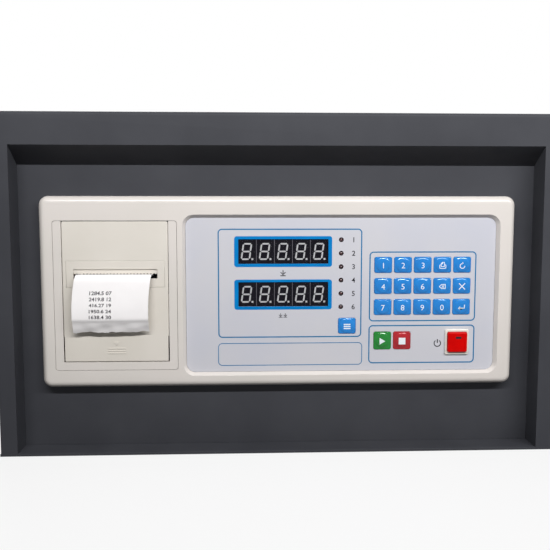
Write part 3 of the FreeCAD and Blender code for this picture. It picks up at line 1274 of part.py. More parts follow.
def gear(teeth, tooth_direction, y, z, bore):
    """A spur gear with involute flanks. One tooth points along tooth_direction, in degrees."""
    pitch_radius = GEAR_MODULE * teeth / 2
    base_radius = pitch_radius * math.cos(PRESSURE_ANGLE)
    tip_radius = pitch_radius + GEAR_ADDENDUM * GEAR_MODULE
    root_radius = pitch_radius - GEAR_DEDENDUM * GEAR_MODULE
    half_at_pitch = math.pi / (2 * teeth) - GEAR_BACKLASH / (4 * pitch_radius)
    involute_at_pitch = math.tan(PRESSURE_ANGLE) - PRESSURE_ANGLE
    start = max(base_radius, root_radius)
    flank = []
    steps = 2
    for step in range(steps + 1):
        radius = start + (tip_radius - start) * step / steps
        roll = math.acos(min(1.0, base_radius / radius))
        flank.append((radius, half_at_pitch + involute_at_pitch - (math.tan(roll) - roll)))
    if root_radius < base_radius:
        flank.insert(0, (root_radius, flank[0][1]))
    points = []
    for index in range(teeth):
        middle = math.radians(tooth_direction) + index * 2 * math.pi / teeth
        for radius, half in flank:
            points.append((y + radius * math.cos(middle - half), z + radius * math.sin(middle - half)))
        for radius, half in reversed(flank):
            points.append((y + radius * math.cos(middle + half), z + radius * math.sin(middle + half)))
    wheel = profile_x(points, GEAR_LEFT, GEAR_RIGHT)
    return wheel.cut(rod_x(bore, GEAR_LEFT - PAST, GEAR_RIGHT + PAST, y, z))


def platen_gear():
    """Gear on the platen's shaft, with a tooth towards the idler."""
    return gear(PLATEN_TEETH, IDLER_DIRECTION, PLATEN_Y, PLATEN_AXIS_Z, SHAFT_RADIUS)


def idler_gear():
    """Idler on its post, with a gap towards each neighbour."""
    half_pitch = HALF_TURN / IDLER_TEETH
    return gear(IDLER_TEETH, IDLER_DIRECTION + HALF_TURN + half_pitch, IDLER_Y, IDLER_Z,
                SHAFT_RADIUS + SHAFT_CLEARANCE)


def motor_face():
    """Where the motor meets its bulkhead, along X."""
    return GEAR_RIGHT + GEAR_WALL_GAP / 2 + BULKHEAD


def motor_pinion():
    """Pinion and motor shaft in one, with a tooth towards the idler."""
    pinion = gear(PINION_TEETH, PINION_DIRECTION + HALF_TURN, PINION_Y, PINION_Z, MOTOR_SHAFT_RADIUS)
    tail = motor_face() + MOTOR_BORE_DEPTH - SEAM
    return pinion.fuse(rod_x(MOTOR_SHAFT_RADIUS, GEAR_LEFT, tail, PINION_Y, PINION_Z)).removeSplitter()


def printer_motor():
    """The stepping motor against its bulkhead, bored for its shaft."""
    face = motor_face()
    body = rod_x(MOTOR_RADIUS, face, face + MOTOR_LENGTH, PINION_Y, PINION_Z)
    bore = rod_x(MOTOR_SHAFT_RADIUS + SHAFT_CLEARANCE, face, face + MOTOR_BORE_DEPTH, PINION_Y, PINION_Z)
    return body.cut(bore)


def platen_shaft():
    """Steel shaft of the platen, which also carries its gear."""
    right_end = PRINTER_X + ARM_OUTER + SHAFT_END
    return rod_x(SHAFT_RADIUS, GEAR_LEFT, right_end, PLATEN_Y, PLATEN_AXIS_Z)


def platen_roller():
    """Rubber sleeve of the platen."""
    half = PLATEN_LENGTH / 2
    sleeve = rod_x(PLATEN_RADIUS, PRINTER_X - half, PRINTER_X + half, PLATEN_Y, PLATEN_AXIS_Z)
    return sleeve.cut(platen_shaft())


def print_head():
    """The thermal head with the bar that carries it between the bucket's walls."""
    face = PLATEN_Y + PLATEN_RADIUS + 2 * PAPER_CLEARANCE + PAPER_THICKNESS
    half = HEAD_WIDTH / 2
    head = box(PRINTER_X - half, PRINTER_X + half, face, face + HEAD_THICKNESS,
               on_front(HEAD_BOTTOM), on_front(HEAD_TOP))
    bar = box(BUCKET_INSIDE_LEFT, BUCKET_INSIDE_RIGHT, face + HEAD_THICKNESS - HEAD_BAR,
              face + HEAD_THICKNESS, on_front(HEAD_BOTTOM), on_front(HEAD_BAR_TOP))
    return head.fuse(bar).removeSplitter()


def paper_roll():
    """The roll of receipt paper on its core."""
    half = PAPER_WIDTH / 2
    roll = rod_x(ROLL_RADIUS, PRINTER_X - half, PRINTER_X + half, ROLL_Y, ROLL_AXIS_Z)
    return roll.cut(
        rod_x(ROLL_CORE_RADIUS, PRINTER_X - half - PAST, PRINTER_X + half + PAST, ROLL_Y, ROLL_AXIS_Z)
    )


def roll_spindle():
    """The spindle across the bucket that the roll turns on."""
    return rod_x(ROLL_CORE_RADIUS - SPINDLE_CLEARANCE, BUCKET_INSIDE_LEFT, BUCKET_INSIDE_RIGHT,
                 ROLL_Y, ROLL_AXIS_Z)


def bent_line(x, corners):
    """A line of straight runs and round bends in the plane at x, from corners (y, z, bend radius)."""
    points = [FreeCAD.Vector(x, y, z) for y, z, _ in corners]
    edges = []
    start = points[0]
    for index in range(1, len(points) - 1):
        corner = points[index]
        radius = corners[index][2]
        back = (points[index - 1] - corner).normalize()
        ahead = (points[index + 1] - corner).normalize()
        half_turn = (math.pi - back.getAngle(ahead)) / 2
        reach = radius * math.tan(half_turn)
        middle = corner + (back + ahead).normalize() * (radius / math.cos(half_turn) - radius)
        first = corner + back * reach
        if (first - start).Length > 1e-6:
            edges.append(Part.LineSegment(start, first).toShape())
        start = corner + ahead * reach
        edges.append(Part.Arc(first, middle, start).toShape())
    edges.append(Part.LineSegment(start, points[-1]).toShape())
    return Part.Wire(edges)


def paper_strip():
    """The printed end of the paper: over the platen, out of the slot, then curling down the door."""
    radius = PLATEN_RADIUS + PAPER_CLEARANCE
    wrap_start = math.radians(PAPER_WRAP_START)
    rise = math.radians(CURL_RISE)
    wrap_end = math.pi / 2 - rise
    middle = (wrap_start + wrap_end) / 2
    reach = radius / math.cos((wrap_end - wrap_start) / 2)
    top_y = BEZEL_Y - CURL_TOP_PROUD
    run = PLATEN_Y + radius * math.cos(wrap_end) - top_y
    corners = (
        (PLATEN_Y + radius * math.cos(wrap_start), PLATEN_AXIS_Z + radius * math.sin(wrap_start), 0),
        (PLATEN_Y + reach * math.cos(middle), PLATEN_AXIS_Z + reach * math.sin(middle), radius),
        (top_y, PLATEN_AXIS_Z + radius * math.sin(wrap_end) + run * math.tan(rise), CURL_TOP_BEND),
        (BEZEL_Y - CURL_BELLY_PROUD, on_front(CURL_BELLY_Z), CURL_BELLY_BEND),
        (BEZEL_Y - CURL_FOLD_PROUD, on_front(CURL_FOLD_Z), CURL_FOLD_BEND),
        (BEZEL_Y - CURL_END_PROUD, on_front(CURL_END_Z), 0),
    )
    line = bent_line(PRINTER_X - PAPER_WIDTH / 2, corners)
    sheet = line.makeOffset2D(PAPER_THICKNESS, 0, True, True)
    return sheet.extrude(FreeCAD.Vector(PAPER_WIDTH, 0, 0))


def paper_web():
    """The paper that runs straight up from the roll to the platen."""
    front = PLATEN_Y + PAPER_TURN_RADIUS - PAPER_THICKNESS / 2
    half = PAPER_WIDTH / 2
    return box(PRINTER_X - half, PRINTER_X + half, front, front + PAPER_THICKNESS,
               ROLL_AXIS_Z, PLATEN_AXIS_Z)


def main():
    os.makedirs("parts", exist_ok=True)
    save("console_shell", [console_shell()])
    save("fascia_panel", [fascia_panel()])
    save("fascia_screws", fascia_screws())
    save("base_plate", [base_plate()])
    save("cable_grommet", [cable_grommet()])
    save("rear_cover", [rear_cover()])
    save("cover_screws", cover_screws())
    save("bezel", [bezel()])
    save("instrument_case", [instrument_case()])
    save("case_screws", case_screws())
    save("panel_clamps", panel_clamps())
    save("clamp_screws", clamp_screws())
    save("overlay", [overlay()])
    save("backing_plate", [backing_plate()])
    save("display_windows", display_windows())
    save("force_digits", digit_modules(FORCE_READOUT_Z))
    save("rate_digits", digit_modules(RATE_READOUT_Z))
    save("digit_segments", digit_segments(FORCE_READOUT_Z) + digit_segments(RATE_READOUT_Z))
    save("status_lamps", status_lamps())
    for name, x, z, height in key_layout():
        save(name, [key_cap(x, z, height)])
    save("tact_switches", tact_switches())
    save("keypad_board", [keypad_board()])
    save("board_standoffs", board_standoffs())
    save("switch_body", [switch_body()])
    save("power_button", [power_button()])
    save("main_board", main_board())
    save("board_components", board_components())
    save("mains_transformer", [mains_transformer()])
    save("printer_frame", [printer_frame()])
    save("printer_door", [printer_door()])
    save("paper_exit", [paper_exit()])
    save("platen_roller", [platen_roller()])
    save("platen_shaft", [platen_shaft()])
    save("platen_gear", [platen_gear()])
    save("idler_gear", [idler_gear()])
    save("motor_pinion", [motor_pinion()])
    save("printer_motor", [printer_motor()])
    save("print_head", [print_head()])
    save("paper_roll", [paper_roll()])
    save("roll_spindle", [roll_spindle()])
    save("paper_strip", [paper_strip()])
    save("paper_web", [paper_web()])


main()
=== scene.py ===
import json
import math
import random

import bmesh
import bpy
from mathutils import Matrix, Vector

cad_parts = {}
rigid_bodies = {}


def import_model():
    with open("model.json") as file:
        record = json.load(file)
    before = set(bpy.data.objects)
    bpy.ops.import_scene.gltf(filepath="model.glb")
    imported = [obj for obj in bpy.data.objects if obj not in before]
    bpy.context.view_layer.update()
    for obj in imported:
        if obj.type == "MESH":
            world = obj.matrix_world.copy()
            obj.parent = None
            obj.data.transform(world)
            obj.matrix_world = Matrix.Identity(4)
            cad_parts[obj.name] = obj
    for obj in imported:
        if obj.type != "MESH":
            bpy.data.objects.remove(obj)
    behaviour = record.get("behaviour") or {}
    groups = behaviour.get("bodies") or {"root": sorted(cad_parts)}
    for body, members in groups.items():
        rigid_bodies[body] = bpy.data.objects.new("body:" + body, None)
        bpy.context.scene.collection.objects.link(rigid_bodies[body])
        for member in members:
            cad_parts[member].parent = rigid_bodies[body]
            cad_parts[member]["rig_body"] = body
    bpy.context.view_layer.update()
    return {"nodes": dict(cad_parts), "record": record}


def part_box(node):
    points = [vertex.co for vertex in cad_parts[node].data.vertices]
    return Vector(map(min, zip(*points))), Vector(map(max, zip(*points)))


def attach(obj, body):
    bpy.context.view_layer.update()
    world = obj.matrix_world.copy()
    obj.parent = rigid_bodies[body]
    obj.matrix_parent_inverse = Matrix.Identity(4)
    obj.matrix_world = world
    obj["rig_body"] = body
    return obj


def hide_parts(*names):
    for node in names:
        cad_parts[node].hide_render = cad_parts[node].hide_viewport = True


# The operator console dressed for its portrait. Sizes are millimetres until a piece is finished,
# and places on the front are measured from the middle of the bezel: x to the right, z up.

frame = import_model()
nodes = frame["nodes"]

MM = 0.001


def in_mm(corners):
    """The low and high corner of a CAD box, in millimetres."""
    return [corner / MM for corner in corners]


BEZEL_LOW, BEZEL_HIGH = in_mm(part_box("bezel"))
BEZEL_Z = (BEZEL_LOW.z + BEZEL_HIGH.z) / 2
PANEL_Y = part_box("overlay")[0].y / MM
DOOR_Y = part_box("paper_exit")[0].y / MM
PAPER_LOW, PAPER_HIGH = in_mm(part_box("paper_strip"))
BUTTON_LOW, BUTTON_HIGH = in_mm(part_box("power_button"))
LAMPS_LOW, LAMPS_HIGH = in_mm(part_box("status_lamps"))

# Edges and points, with angles in degrees
CORNER_STEPS = 5                 # steps in a rounded corner
SMOOTH_ANGLE = 35.0              # edges steeper than this stay crisp
EASED_ANGLE = 32.0               # edges steeper than this are eased
EASED_STEPS = 2
FLAT_ANGLE = 0.5                 # faces that meet flatter than this are joined
MERGE = 0.001                    # points nearer to each other than this are joined

# Finishes
MOTTLE = {"Detail": 3.0, "Roughness": 0.55}
MOTTLE_ENDS = (0.22, 0.78)       # noise values at which a finish has its two colours
ROUGHNESS_ENDS = (0.3, 0.7)      # and its two roughnesses
GRAIN = {"Detail": 2.0, "Roughness": 0.5}
GRAIN_DEPTH = 0.1

# Printed panel, whose boxes are (left, right, bottom, top)
INK = 0.04                       # thickness of a print
LEGEND = 0.03                    # and of its lettering
CAPITAL = 0.7                    # height of a capital as a share of the font's size
GLYPH_STEPS = 4
GLYPH_MERGE = 0.0001
OUTLINE = 0.9
THIN_OUTLINE = 0.55
OUTLINE_CORNER = 3.2
MEASURE_BOX = (-47.0, 62.9, -35.4, 48.0)
NOTICE_BOX = (-47.2, 63.7, -57.1, -39.5)
KEYPAD_BOX = (68.6, 151.3, -23.4, 30.5)
SWITCH_BOX = (68.5, 151.2, -56.2, -26.3)
READOUT_FRAMES = ((-34.6, 39.9, 18.9, 42.3), (-34.6, 39.9, -13.8, 9.3))
READOUT_WINDOWS = ((-31.5, 37.1, 21.35, 40.05), (-31.5, 37.1, -11.35, 7.35))
READOUT_FRAME_CORNER = 2.0
MARK_WEIGHT = 0.07               # how much bolder a mark is than the plain letter
CAPTION_X = 2.5
CAPTION_LETTER = 4.0
CAPTIONS = (("force", "⤓", 14.2, 4.6), ("rate", "⤓⤓", -18.3, 6.4))    # name, mark, place's z and width
LAMP_NUMBER_OFFSET = 9.5
LAMP_NUMBER = 3.8
POWER_MARK = (122.3, -40.6)
POWER_LETTER = 5.0
POWER_SIZE = 6.0

# Lamps
LAMPS = 6
LAMP_PITCH = 10.28
LAMP_RADIUS = 1.5
LAMP_STEPS = 6                   # steps in the nose's quarter round
LAMP_SIDES = 28
LAMP_BACK = 3.0                  # the dressed lamp ends this far short of the CAD one

# Readouts
MODULES = 5
JOINT_WIDTH = 0.4
JOINT_CORNER = 0.1
JOINT_INSET = 0.6

# Keys
KEY_CORNER = 1.5
KEY_EDGE = 0.35
KEY_EDGE_STEPS = 3
KEY_CAP = 1.05                   # thickness of the flat cap round the dome
KEY_BUMP = 0.7                   # height of the dome above it
DOME = (                         # distance from its middle, and depth below its top
    (2.1, 0.01), (4.2, 0.05), (4.5, 0.125), (4.9, 0.264), (5.3, 0.42), (5.7, 0.6), (5.9, 0.705), (5.9, 1.0),
)
DOME_SIDES = 48
DIGIT_SIZE = 4.3
MARK_SIZE = 5.2
MARK_PROUD = 0.005               # the middle of the print's thickness is this far in front of the dome
MARK_DROP = 0.4                  # the print sits this far below the key's middle
STEM = 3.6
KEY_MARKS = {
    "key_1": "1", "key_2": "2", "key_3": "3", "key_print": "⎙", "key_reset": "↻",
    "key_4": "4", "key_5": "5", "key_6": "6", "key_delete": "⌫", "key_clear": "✕",
    "key_7": "7", "key_8": "8", "key_9": "9", "key_0": "0", "key_enter": "↵",
    "key_function": "☰", "key_run": "▶", "key_stop": "■",
}

# Power button: the bar's width, height and corner, and its place from the button's middle
BAR = (4.3, 1.7, 0.35)
BAR_PLACE = (0.6, 3.6)

# Receipt: its curl as (mm in front of the door's face, height), from inside the slot to the torn end
CURL = (
    (-7.0, 12.6), (-1.0, 13.65), (1.6, 14.0), (4.0, 13.0), (5.6, 10.4), (6.6, 5.5), (7.7, -2.5),
    (8.5, -10.0), (8.75, -15.0), (8.75, -18.6), (8.3, -20.1), (7.6, -21.4), (5.8, -25.6), (3.9, -29.9),
)
PAPER_COLUMNS = 48
PAPER_ROWS = 90
PAPER_THICKNESS = 0.1
PAPER_SEED = 7
TEAR_SHORT = 1.0                 # the torn end's middle is this far short of the curl's end
TEAR_ROUGHNESS = 0.8
TEAR_WAVES = ((0.5, 0.31, 1.0), (0.3, 0.83, 0.0))    # share, radians per mm and start in radians
TEAR_JAGS = 0.45                 # share of the random jags
RECEIPT_LINES = ("1284.5 07", "2419.8 12", "416.27 19", "1950.6 24", "1638.4 30")
RECEIPT_TEXT = 2.5
RECEIPT_WEIGHT = 0.09
RECEIPT_LINE = 16.4              # width of a printed line
RECEIPT_FIRST_LINE = 24.4        # distance along the sheet
RECEIPT_PITCH = 4.4
RECEIPT_LEFT = 12.6              # from the sheet's left edge
PRINT_DEPTH = 0.02
PRINT_LIFT = 0.03
LEAN = 2.8                       # the sheet swings this far to the left as it comes down
LEAN_START = 7.0                 # starts and lengths on the sheet are distances along it
LEAN_LENGTH = 28.0
SWAY = 0.35                      # a slow wave across the sheet, which grows to this height
SWAY_WIDTH = 19.0
SWAY_SHIFT = 0.8
SWAY_START = 24.0
SWAY_LENGTH = 25.0
FOLD_START = 47.0                # where the folded end begins
FOLD_SPREAD = 4.0
CREASE = 0.45                    # height of the creases in the folded end
CREASE_WAVES = ((3.4, 5.0), (7.9, -3.7))             # mm per radian across and along
RECEIPT_INSET = (0.4, 0.9)       # the sheet's own edges, inside the widest paper that the slot takes

# Camera, solved from the corners of the bezel in the photograph
CAMERA = (-25.0, -607.0, 184.0)
CAMERA_TURN = (84.70, 0.0, -2.31)
CAMERA_LENS = 45.82
SENSOR = 36.0
CAMERA_NEAR = 10.0

# Studio. A lamp's power is in watts. The tube is long and thin, as its glint on the photo's keys shows.
FLOOR_SIDE = 3000.0
FLOOR_SHADES = ("#666666", "#6d6d6d")
FLOOR_NOISE = {"Scale": 3.0, "Detail": 2.0}
FLOOR_GLOW = (0.8, 1.0)          # near the console and far from it
FLOOR_FADE = (500.0, 1800.0)     # distances between which the glow changes
WHITE = 1.0
FILL = 0.045
TUBE = dict(place=(200, -600, 560), target=(200, -80, 140), width=1200, height=30, power=7.8)
REAR = dict(place=(-500, 1300, 800), target=(0, 90, 120), width=800, height=800, power=9.0)


def srgb(text):
    """Linear colour of an sRGB hex value."""
    values = [int(text[i:i + 2], 16) / 255 for i in (1, 3, 5)]
    return [v / 12.92 if v <= 0.04045 else ((v + 0.055) / 1.055) ** 2.4 for v in values] + [1.0]


def add(tree, kind, inputs=None, **settings):
    """Adds a node, with its settings, and its sockets given values or links."""
    node = tree.nodes.new(kind)
    for name, value in settings.items():
        setattr(node, name, value)
    for socket, value in (inputs or {}).items():
        if isinstance(value, bpy.types.NodeSocket):
            tree.links.new(value, node.inputs[socket])
        else:
            node.inputs[socket].default_value = value
    return node


def finish_of(name, low, high, mottle_mm, roughness, grain_mm, grain, **sockets):
    """A surface whose colour drifts between two hex values and whose face has a fine grain.

    The roughness is a pair that drifts with the colour. The grain is a bump of that size and height.
    """
    material = bpy.data.materials.new(name)
    material.use_nodes = True
    tree = material.node_tree
    shader = tree.nodes["Principled BSDF"]
    place = add(tree, "ShaderNodeTexCoord").outputs["Object"]
    drift = add(
        tree, "ShaderNodeTexNoise",
        {"Vector": place, "Scale": 1 / (mottle_mm * MM), **MOTTLE},
    ).outputs["Fac"]
    colour = add(tree, "ShaderNodeValToRGB", {"Fac": drift})
    first, last = colour.color_ramp.elements
    colour.color_ramp.interpolation = "EASE"
    first.position, last.position = MOTTLE_ENDS
    first.color, last.color = srgb(low), srgb(high)
    tree.links.new(colour.outputs["Color"], shader.inputs["Base Color"])
    smooth, dull = roughness
    low_end, high_end = ROUGHNESS_ENDS
    rough = add(
        tree, "ShaderNodeMapRange",
        {"Value": drift, "From Min": low_end, "From Max": high_end, "To Min": smooth, "To Max": dull},
    )
    tree.links.new(rough.outputs["Result"], shader.inputs["Roughness"])
    pits = add(
        tree, "ShaderNodeTexNoise",
        {"Vector": place, "Scale": 1 / (grain_mm * MM), **GRAIN},
    ).outputs["Fac"]
    bump = add(tree, "ShaderNodeBump", {"Height": pits, "Strength": grain, "Distance": GRAIN_DEPTH * MM})
    tree.links.new(bump.outputs["Normal"], shader.inputs["Normal"])
    for socket, value in sockets.items():
        shader.inputs[socket.replace("_", " ")].default_value = value
    return material


def make_finishes():
    """Every finish on the console, by the name of its slot in the record."""
    return {
        # Polyester powder coat on steel: dark grey, faint orange peel, dull sheen
        "housing_paint": finish_of(
            "powder_coat_dark_grey", "#3a3b40", "#424348", 60, (0.5, 0.56), 1.2, 0.35,
            Specular_IOR_Level=0.15),
        # Moulded ABS, lightly spark-eroded, cream that has yellowed a little
        "bezel_plastic": finish_of(
            "moulded_abs_cream", "#dad5ce", "#e1dad5", 90, (0.2, 0.26), 0.7, 0.1),
        # The printer's ABS is a shade warmer, with a duller face
        "door_plastic": finish_of(
            "moulded_abs_warm", "#dad4ca", "#e1dbd2", 45, (0.42, 0.52), 0.6, 0.2),
        # Screen-printed polyester film with a fine satin texture
        "overlay_film": finish_of(
            "satin_polyester_film", "#c8c9d3", "#cecdd2", 70, (0.34, 0.42), 0.5, 0.12),
        # Clear film over the readouts, lightly smoked
        "window_film": finish_of(
            "clear_window_film", "#141318", "#1a191f", 30, (0.12, 0.16), 3.0, 0.02, Alpha=0.08,
            Specular_IOR_Level=0.1),
        # Black face of the digit modules, a filled resin with a dull gloss
        "digit_housing": finish_of(
            "black_moulded_resin", "#0d0b14", "#13111a", 12, (0.35, 0.45), 0.4, 0.08,
            Specular_IOR_Level=0.12),
        # Unlit light pipes: translucent resin that looks light grey
        "digit_light_pipe": finish_of(
            "unlit_light_pipe_resin", "#d2d2d6", "#dedee1", 6, (0.4, 0.5), 0.3, 0.05),
        # Tinted epoxy of the unlit lamps
        "lamp_resin": finish_of(
            "tinted_epoxy_lamp", "#38161c", "#4a1c22", 3, (0.12, 0.18), 0.8, 0.03, Coat_Weight=0.5),
        # Embossed polyester key tops with a glossy face
        "key_blue": finish_of(
            "glossy_film_blue", "#007acc", "#0084d8", 8, (0.06, 0.1), 1.5, 0.02,
            Specular_IOR_Level=0.4),
        "key_green": finish_of(
            "glossy_film_green", "#007a20", "#02892c", 8, (0.06, 0.1), 1.5, 0.02,
            Specular_IOR_Level=0.4),
        "key_red": finish_of(
            "glossy_film_dark_red", "#a60014", "#b4051c", 8, (0.06, 0.1), 1.5, 0.02,
            Specular_IOR_Level=0.4),
        # Cream polycarbonate of the power switch's frame, with a moulded gloss
        "switch_plastic": finish_of(
            "moulded_polycarbonate_cream", "#e4e0d6", "#ebe7de", 10, (0.25, 0.32), 0.6, 0.08),
        # Deep red polycarbonate of the power button
        "button_red": finish_of(
            "moulded_polycarbonate_red", "#cc0000", "#da0200", 9, (0.3, 0.38), 0.8, 0.06,
            Specular_IOR_Level=0.1),
        # Zinc-plated steel: cool grey, slightly cloudy
        "steel_screw": finish_of(
            "zinc_plated_steel", "#a3a7ab", "#bcbfc2", 3, (0.28, 0.4), 0.3, 0.1, Metallic=1.0),
        # Galvanised sheet of the instrument's case
        "plated_sheet": finish_of(
            "galvanised_sheet", "#9a9fa3", "#b1b5b8", 14, (0.34, 0.48), 2.0, 0.08, Metallic=1.0),
        # Rolled aluminium of the backing plate
        "plate_aluminium": finish_of(
            "rolled_aluminium", "#b9babb", "#c8c9ca", 20, (0.35, 0.45), 0.3, 0.1, Metallic=1.0),
        # Glass-fibre board under green solder resist
        "board_laminate": finish_of(
            "green_solder_resist", "#0d5a34", "#136a40", 5, (0.3, 0.4), 0.5, 0.15),
        # Moulded epoxy of chips and terminals
        "component_resin": finish_of(
            "moulded_epoxy_black", "#1b1c1e", "#26272a", 6, (0.5, 0.6), 0.3, 0.15),
        # Varnished transformer laminations
        "transformer_iron": finish_of(
            "varnished_laminations", "#3b3531", "#4d453f", 5, (0.4, 0.55), 0.6, 0.3),
        # Natural acetal gears: milky white, waxy
        "gear_acetal": finish_of(
            "natural_acetal", "#dcdad2", "#e6e4dd", 5, (0.3, 0.4), 0.5, 0.06,
            Subsurface_Weight=0.15, Subsurface_Scale=0.001),
        # Deep-drawn motor can, nickel plated
        "motor_can": finish_of(
            "nickel_plated_can", "#b0aca3", "#c4c0b8", 8, (0.2, 0.3), 0.6, 0.05, Metallic=1.0),
        # Thermal head: dark glazed ceramic
        "head_ceramic": finish_of(
            "glazed_ceramic_dark", "#2c2e33", "#383a40", 8, (0.15, 0.25), 0.5, 0.05),
        # Ground nitrile rubber of the platen
        "platen_rubber": finish_of(
            "ground_nitrile_rubber", "#26262a", "#303035", 4, (0.65, 0.75), 0.25, 0.25),
        # Thermal paper: smooth white with the faintest tooth
        "paper": finish_of(
            "thermal_paper", "#f7f4f4", "#fcf9f9", 25, (0.5, 0.6), 0.5, 0.1),
        # Moulded rubber ring for the cables
        "grommet_rubber": finish_of(
            "moulded_grommet_rubber", "#1d1d1f", "#29292b", 6, (0.6, 0.7), 0.5, 0.2),
    }


def make_inks():
    """Printing inks, which have no slot of their own."""
    return {
        # Screen ink of the panel: flat, even colour
        "blue": finish_of(
            "screen_ink_blue", "#0078c0", "#0082ca", 12, (0.34, 0.42), 0.5, 0.1,
            Specular_IOR_Level=0.15),
        # The outlines are printed in a deeper tone
        "line": finish_of(
            "screen_ink_deep_blue", "#006c9e", "#0076aa", 12, (0.34, 0.42), 0.5, 0.1,
            Specular_IOR_Level=0.15),
        "black": finish_of(
            "screen_ink_black", "#1a1a20", "#24242a", 12, (0.34, 0.42), 0.5, 0.1,
            Specular_IOR_Level=0.2),
        # Light sides of the digit modules, seen as thin lines where two of them meet
        "joint": finish_of(
            "moulded_resin_edge", "#6c6a72", "#7c7a82", 3, (0.5, 0.6), 0.4, 0.1,
            Specular_IOR_Level=0.2),
        "white": finish_of("screen_ink_white", "#e9f2f8", "#f2f8fc", 6, (0.2, 0.28), 1.5, 0.05),
        # Thermal print: dark grey dots that have bled a little
        "thermal": finish_of("thermal_print_grey", "#1f1d22", "#4a484e", 0.6, (0.5, 0.6), 0.3, 0.1),
    }


finishes = make_finishes()
inks = make_inks()
slot_of = {entry["node"]: entry["material_slot"] for entry in frame["record"]["subparts"]}


def body_of(node):
    """The CAD body that a node belongs to."""
    return nodes[node]["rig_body"]


def mark_sharp(bm):
    """Smooth faces that break at steep edges."""
    for face in bm.faces:
        face.smooth = True
    for edge in bm.edges:
        steep = len(edge.link_faces) != 2 or edge.calc_face_angle(0.0) > math.radians(SMOOTH_ANGLE)
        edge.smooth = not steep


def piece(name, bm, material, body):
    """A finished piece from a bmesh in millimetres, riding on a CAD body."""
    bmesh.ops.scale(bm, vec=(MM, MM, MM), verts=bm.verts)
    mark_sharp(bm)
    mesh = bpy.data.meshes.new(name)
    bm.to_mesh(mesh)
    bm.free()
    mesh.materials.append(material)
    made = bpy.data.objects.new(name, mesh)
    bpy.context.scene.collection.objects.link(made)
    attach(made, body)
    return made


def soften(made, width):
    """Rounds a piece's sharp edges."""
    edges = made.modifiers.new("Edges", "BEVEL")
    edges.width = width * MM
    edges.segments = EASED_STEPS
    edges.limit_method = "ANGLE"
    edges.angle_limit = math.radians(EASED_ANGLE)
    edges.use_clamp_overlap = True


def dressed(name, node, eased=0.0):
    """A merged copy of a CAD node with its sharp edges eased by a width, shown in the node's place."""
    bm = bmesh.new()
    bm.from_mesh(nodes[node].data)
    bmesh.ops.remove_doubles(bm, verts=bm.verts, dist=MERGE * MM)
    bmesh.ops.dissolve_limit(bm, angle_limit=math.radians(FLAT_ANGLE), verts=bm.verts, edges=bm.edges)
    bmesh.ops.scale(bm, vec=(1 / MM, 1 / MM, 1 / MM), verts=bm.verts)
    slot = slot_of[node]
    made = piece(name, bm, finishes[slot], body_of(node))
    if eased:
        soften(made, eased)
    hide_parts(node)


def stood_up(bm, x, y, z):
    """Turns a flat form in the XY plane to face the front, and puts it in its place."""
    bmesh.ops.rotate(bm, verts=bm.verts, cent=(0, 0, 0), matrix=Matrix.Rotation(math.pi / 2, 3, "X"))
    bmesh.ops.translate(bm, verts=bm.verts, vec=(x, y, z))


def rounded_plate(width, height, corner):
    """A flat rectangle with round corners in the XY plane, as one face."""
    bm = bmesh.new()
    bmesh.ops.create_grid(bm, x_segments=1, y_segments=1, size=0.5)
    bmesh.ops.scale(bm, vec=(width, height, 1), verts=bm.verts)
    bmesh.ops.bevel(
        bm, geom=bm.verts[:], offset=corner, affect="VERTICES", segments=CORNER_STEPS, profile=0.5,
        material=-1,
    )
    return bm


def thicken(bm, depth):
    """Gives a flat form thickness towards the front, with closed sides."""
    made = bmesh.ops.extrude_face_region(bm, geom=bm.faces[:])
    moved = [v for v in made["geom"] if isinstance(v, bmesh.types.BMVert)]
    bmesh.ops.translate(bm, verts=moved, vec=(0, 0, depth))
    bmesh.ops.recalc_face_normals(bm, faces=bm.faces)


def ring(outline, corner, width):
    """A flat rounded box in the XY plane with its middle cut to a border, and the face that fills it."""
    left, right, bottom, top = outline
    bm = rounded_plate(right - left, top - bottom, corner)
    bmesh.ops.inset_region(bm, faces=bm.faces[:], thickness=width, use_boundary=True, use_even_offset=True)
    return bm, min(bm.faces, key=lambda face: face.calc_center_median().length)


def printed_ring(name, bm, inner, outline, ink):
    """Prints a ring on the panel, open in the middle."""
    left, right, bottom, top = outline
    bmesh.ops.delete(bm, geom=[inner], context="FACES")
    bmesh.ops.remove_doubles(bm, verts=bm.verts, dist=MERGE)
    thicken(bm, INK)
    stood_up(bm, (left + right) / 2, PANEL_Y, BEZEL_Z + (bottom + top) / 2)
    piece(name, bm, inks[ink], "console")


def outline_print(name, outline, width):
    """A line printed round a box."""
    bm, inner = ring(outline, OUTLINE_CORNER, width)
    printed_ring(name, bm, inner, outline, "line")


def readout_frame(name, outline, window):
    """The blue surround of a readout, open at its window."""
    left, right, bottom, top = outline
    w_left, w_right, w_bottom, w_top = window
    bm, inner = ring(outline, READOUT_FRAME_CORNER, w_left - left)
    for v in inner.verts:
        v.co.x = (w_left if v.co.x < 0 else w_right) - (left + right) / 2
        v.co.y = (w_bottom if v.co.y < 0 else w_top) - (bottom + top) / 2
    printed_ring("frame_" + name, bm, inner, outline, "blue")


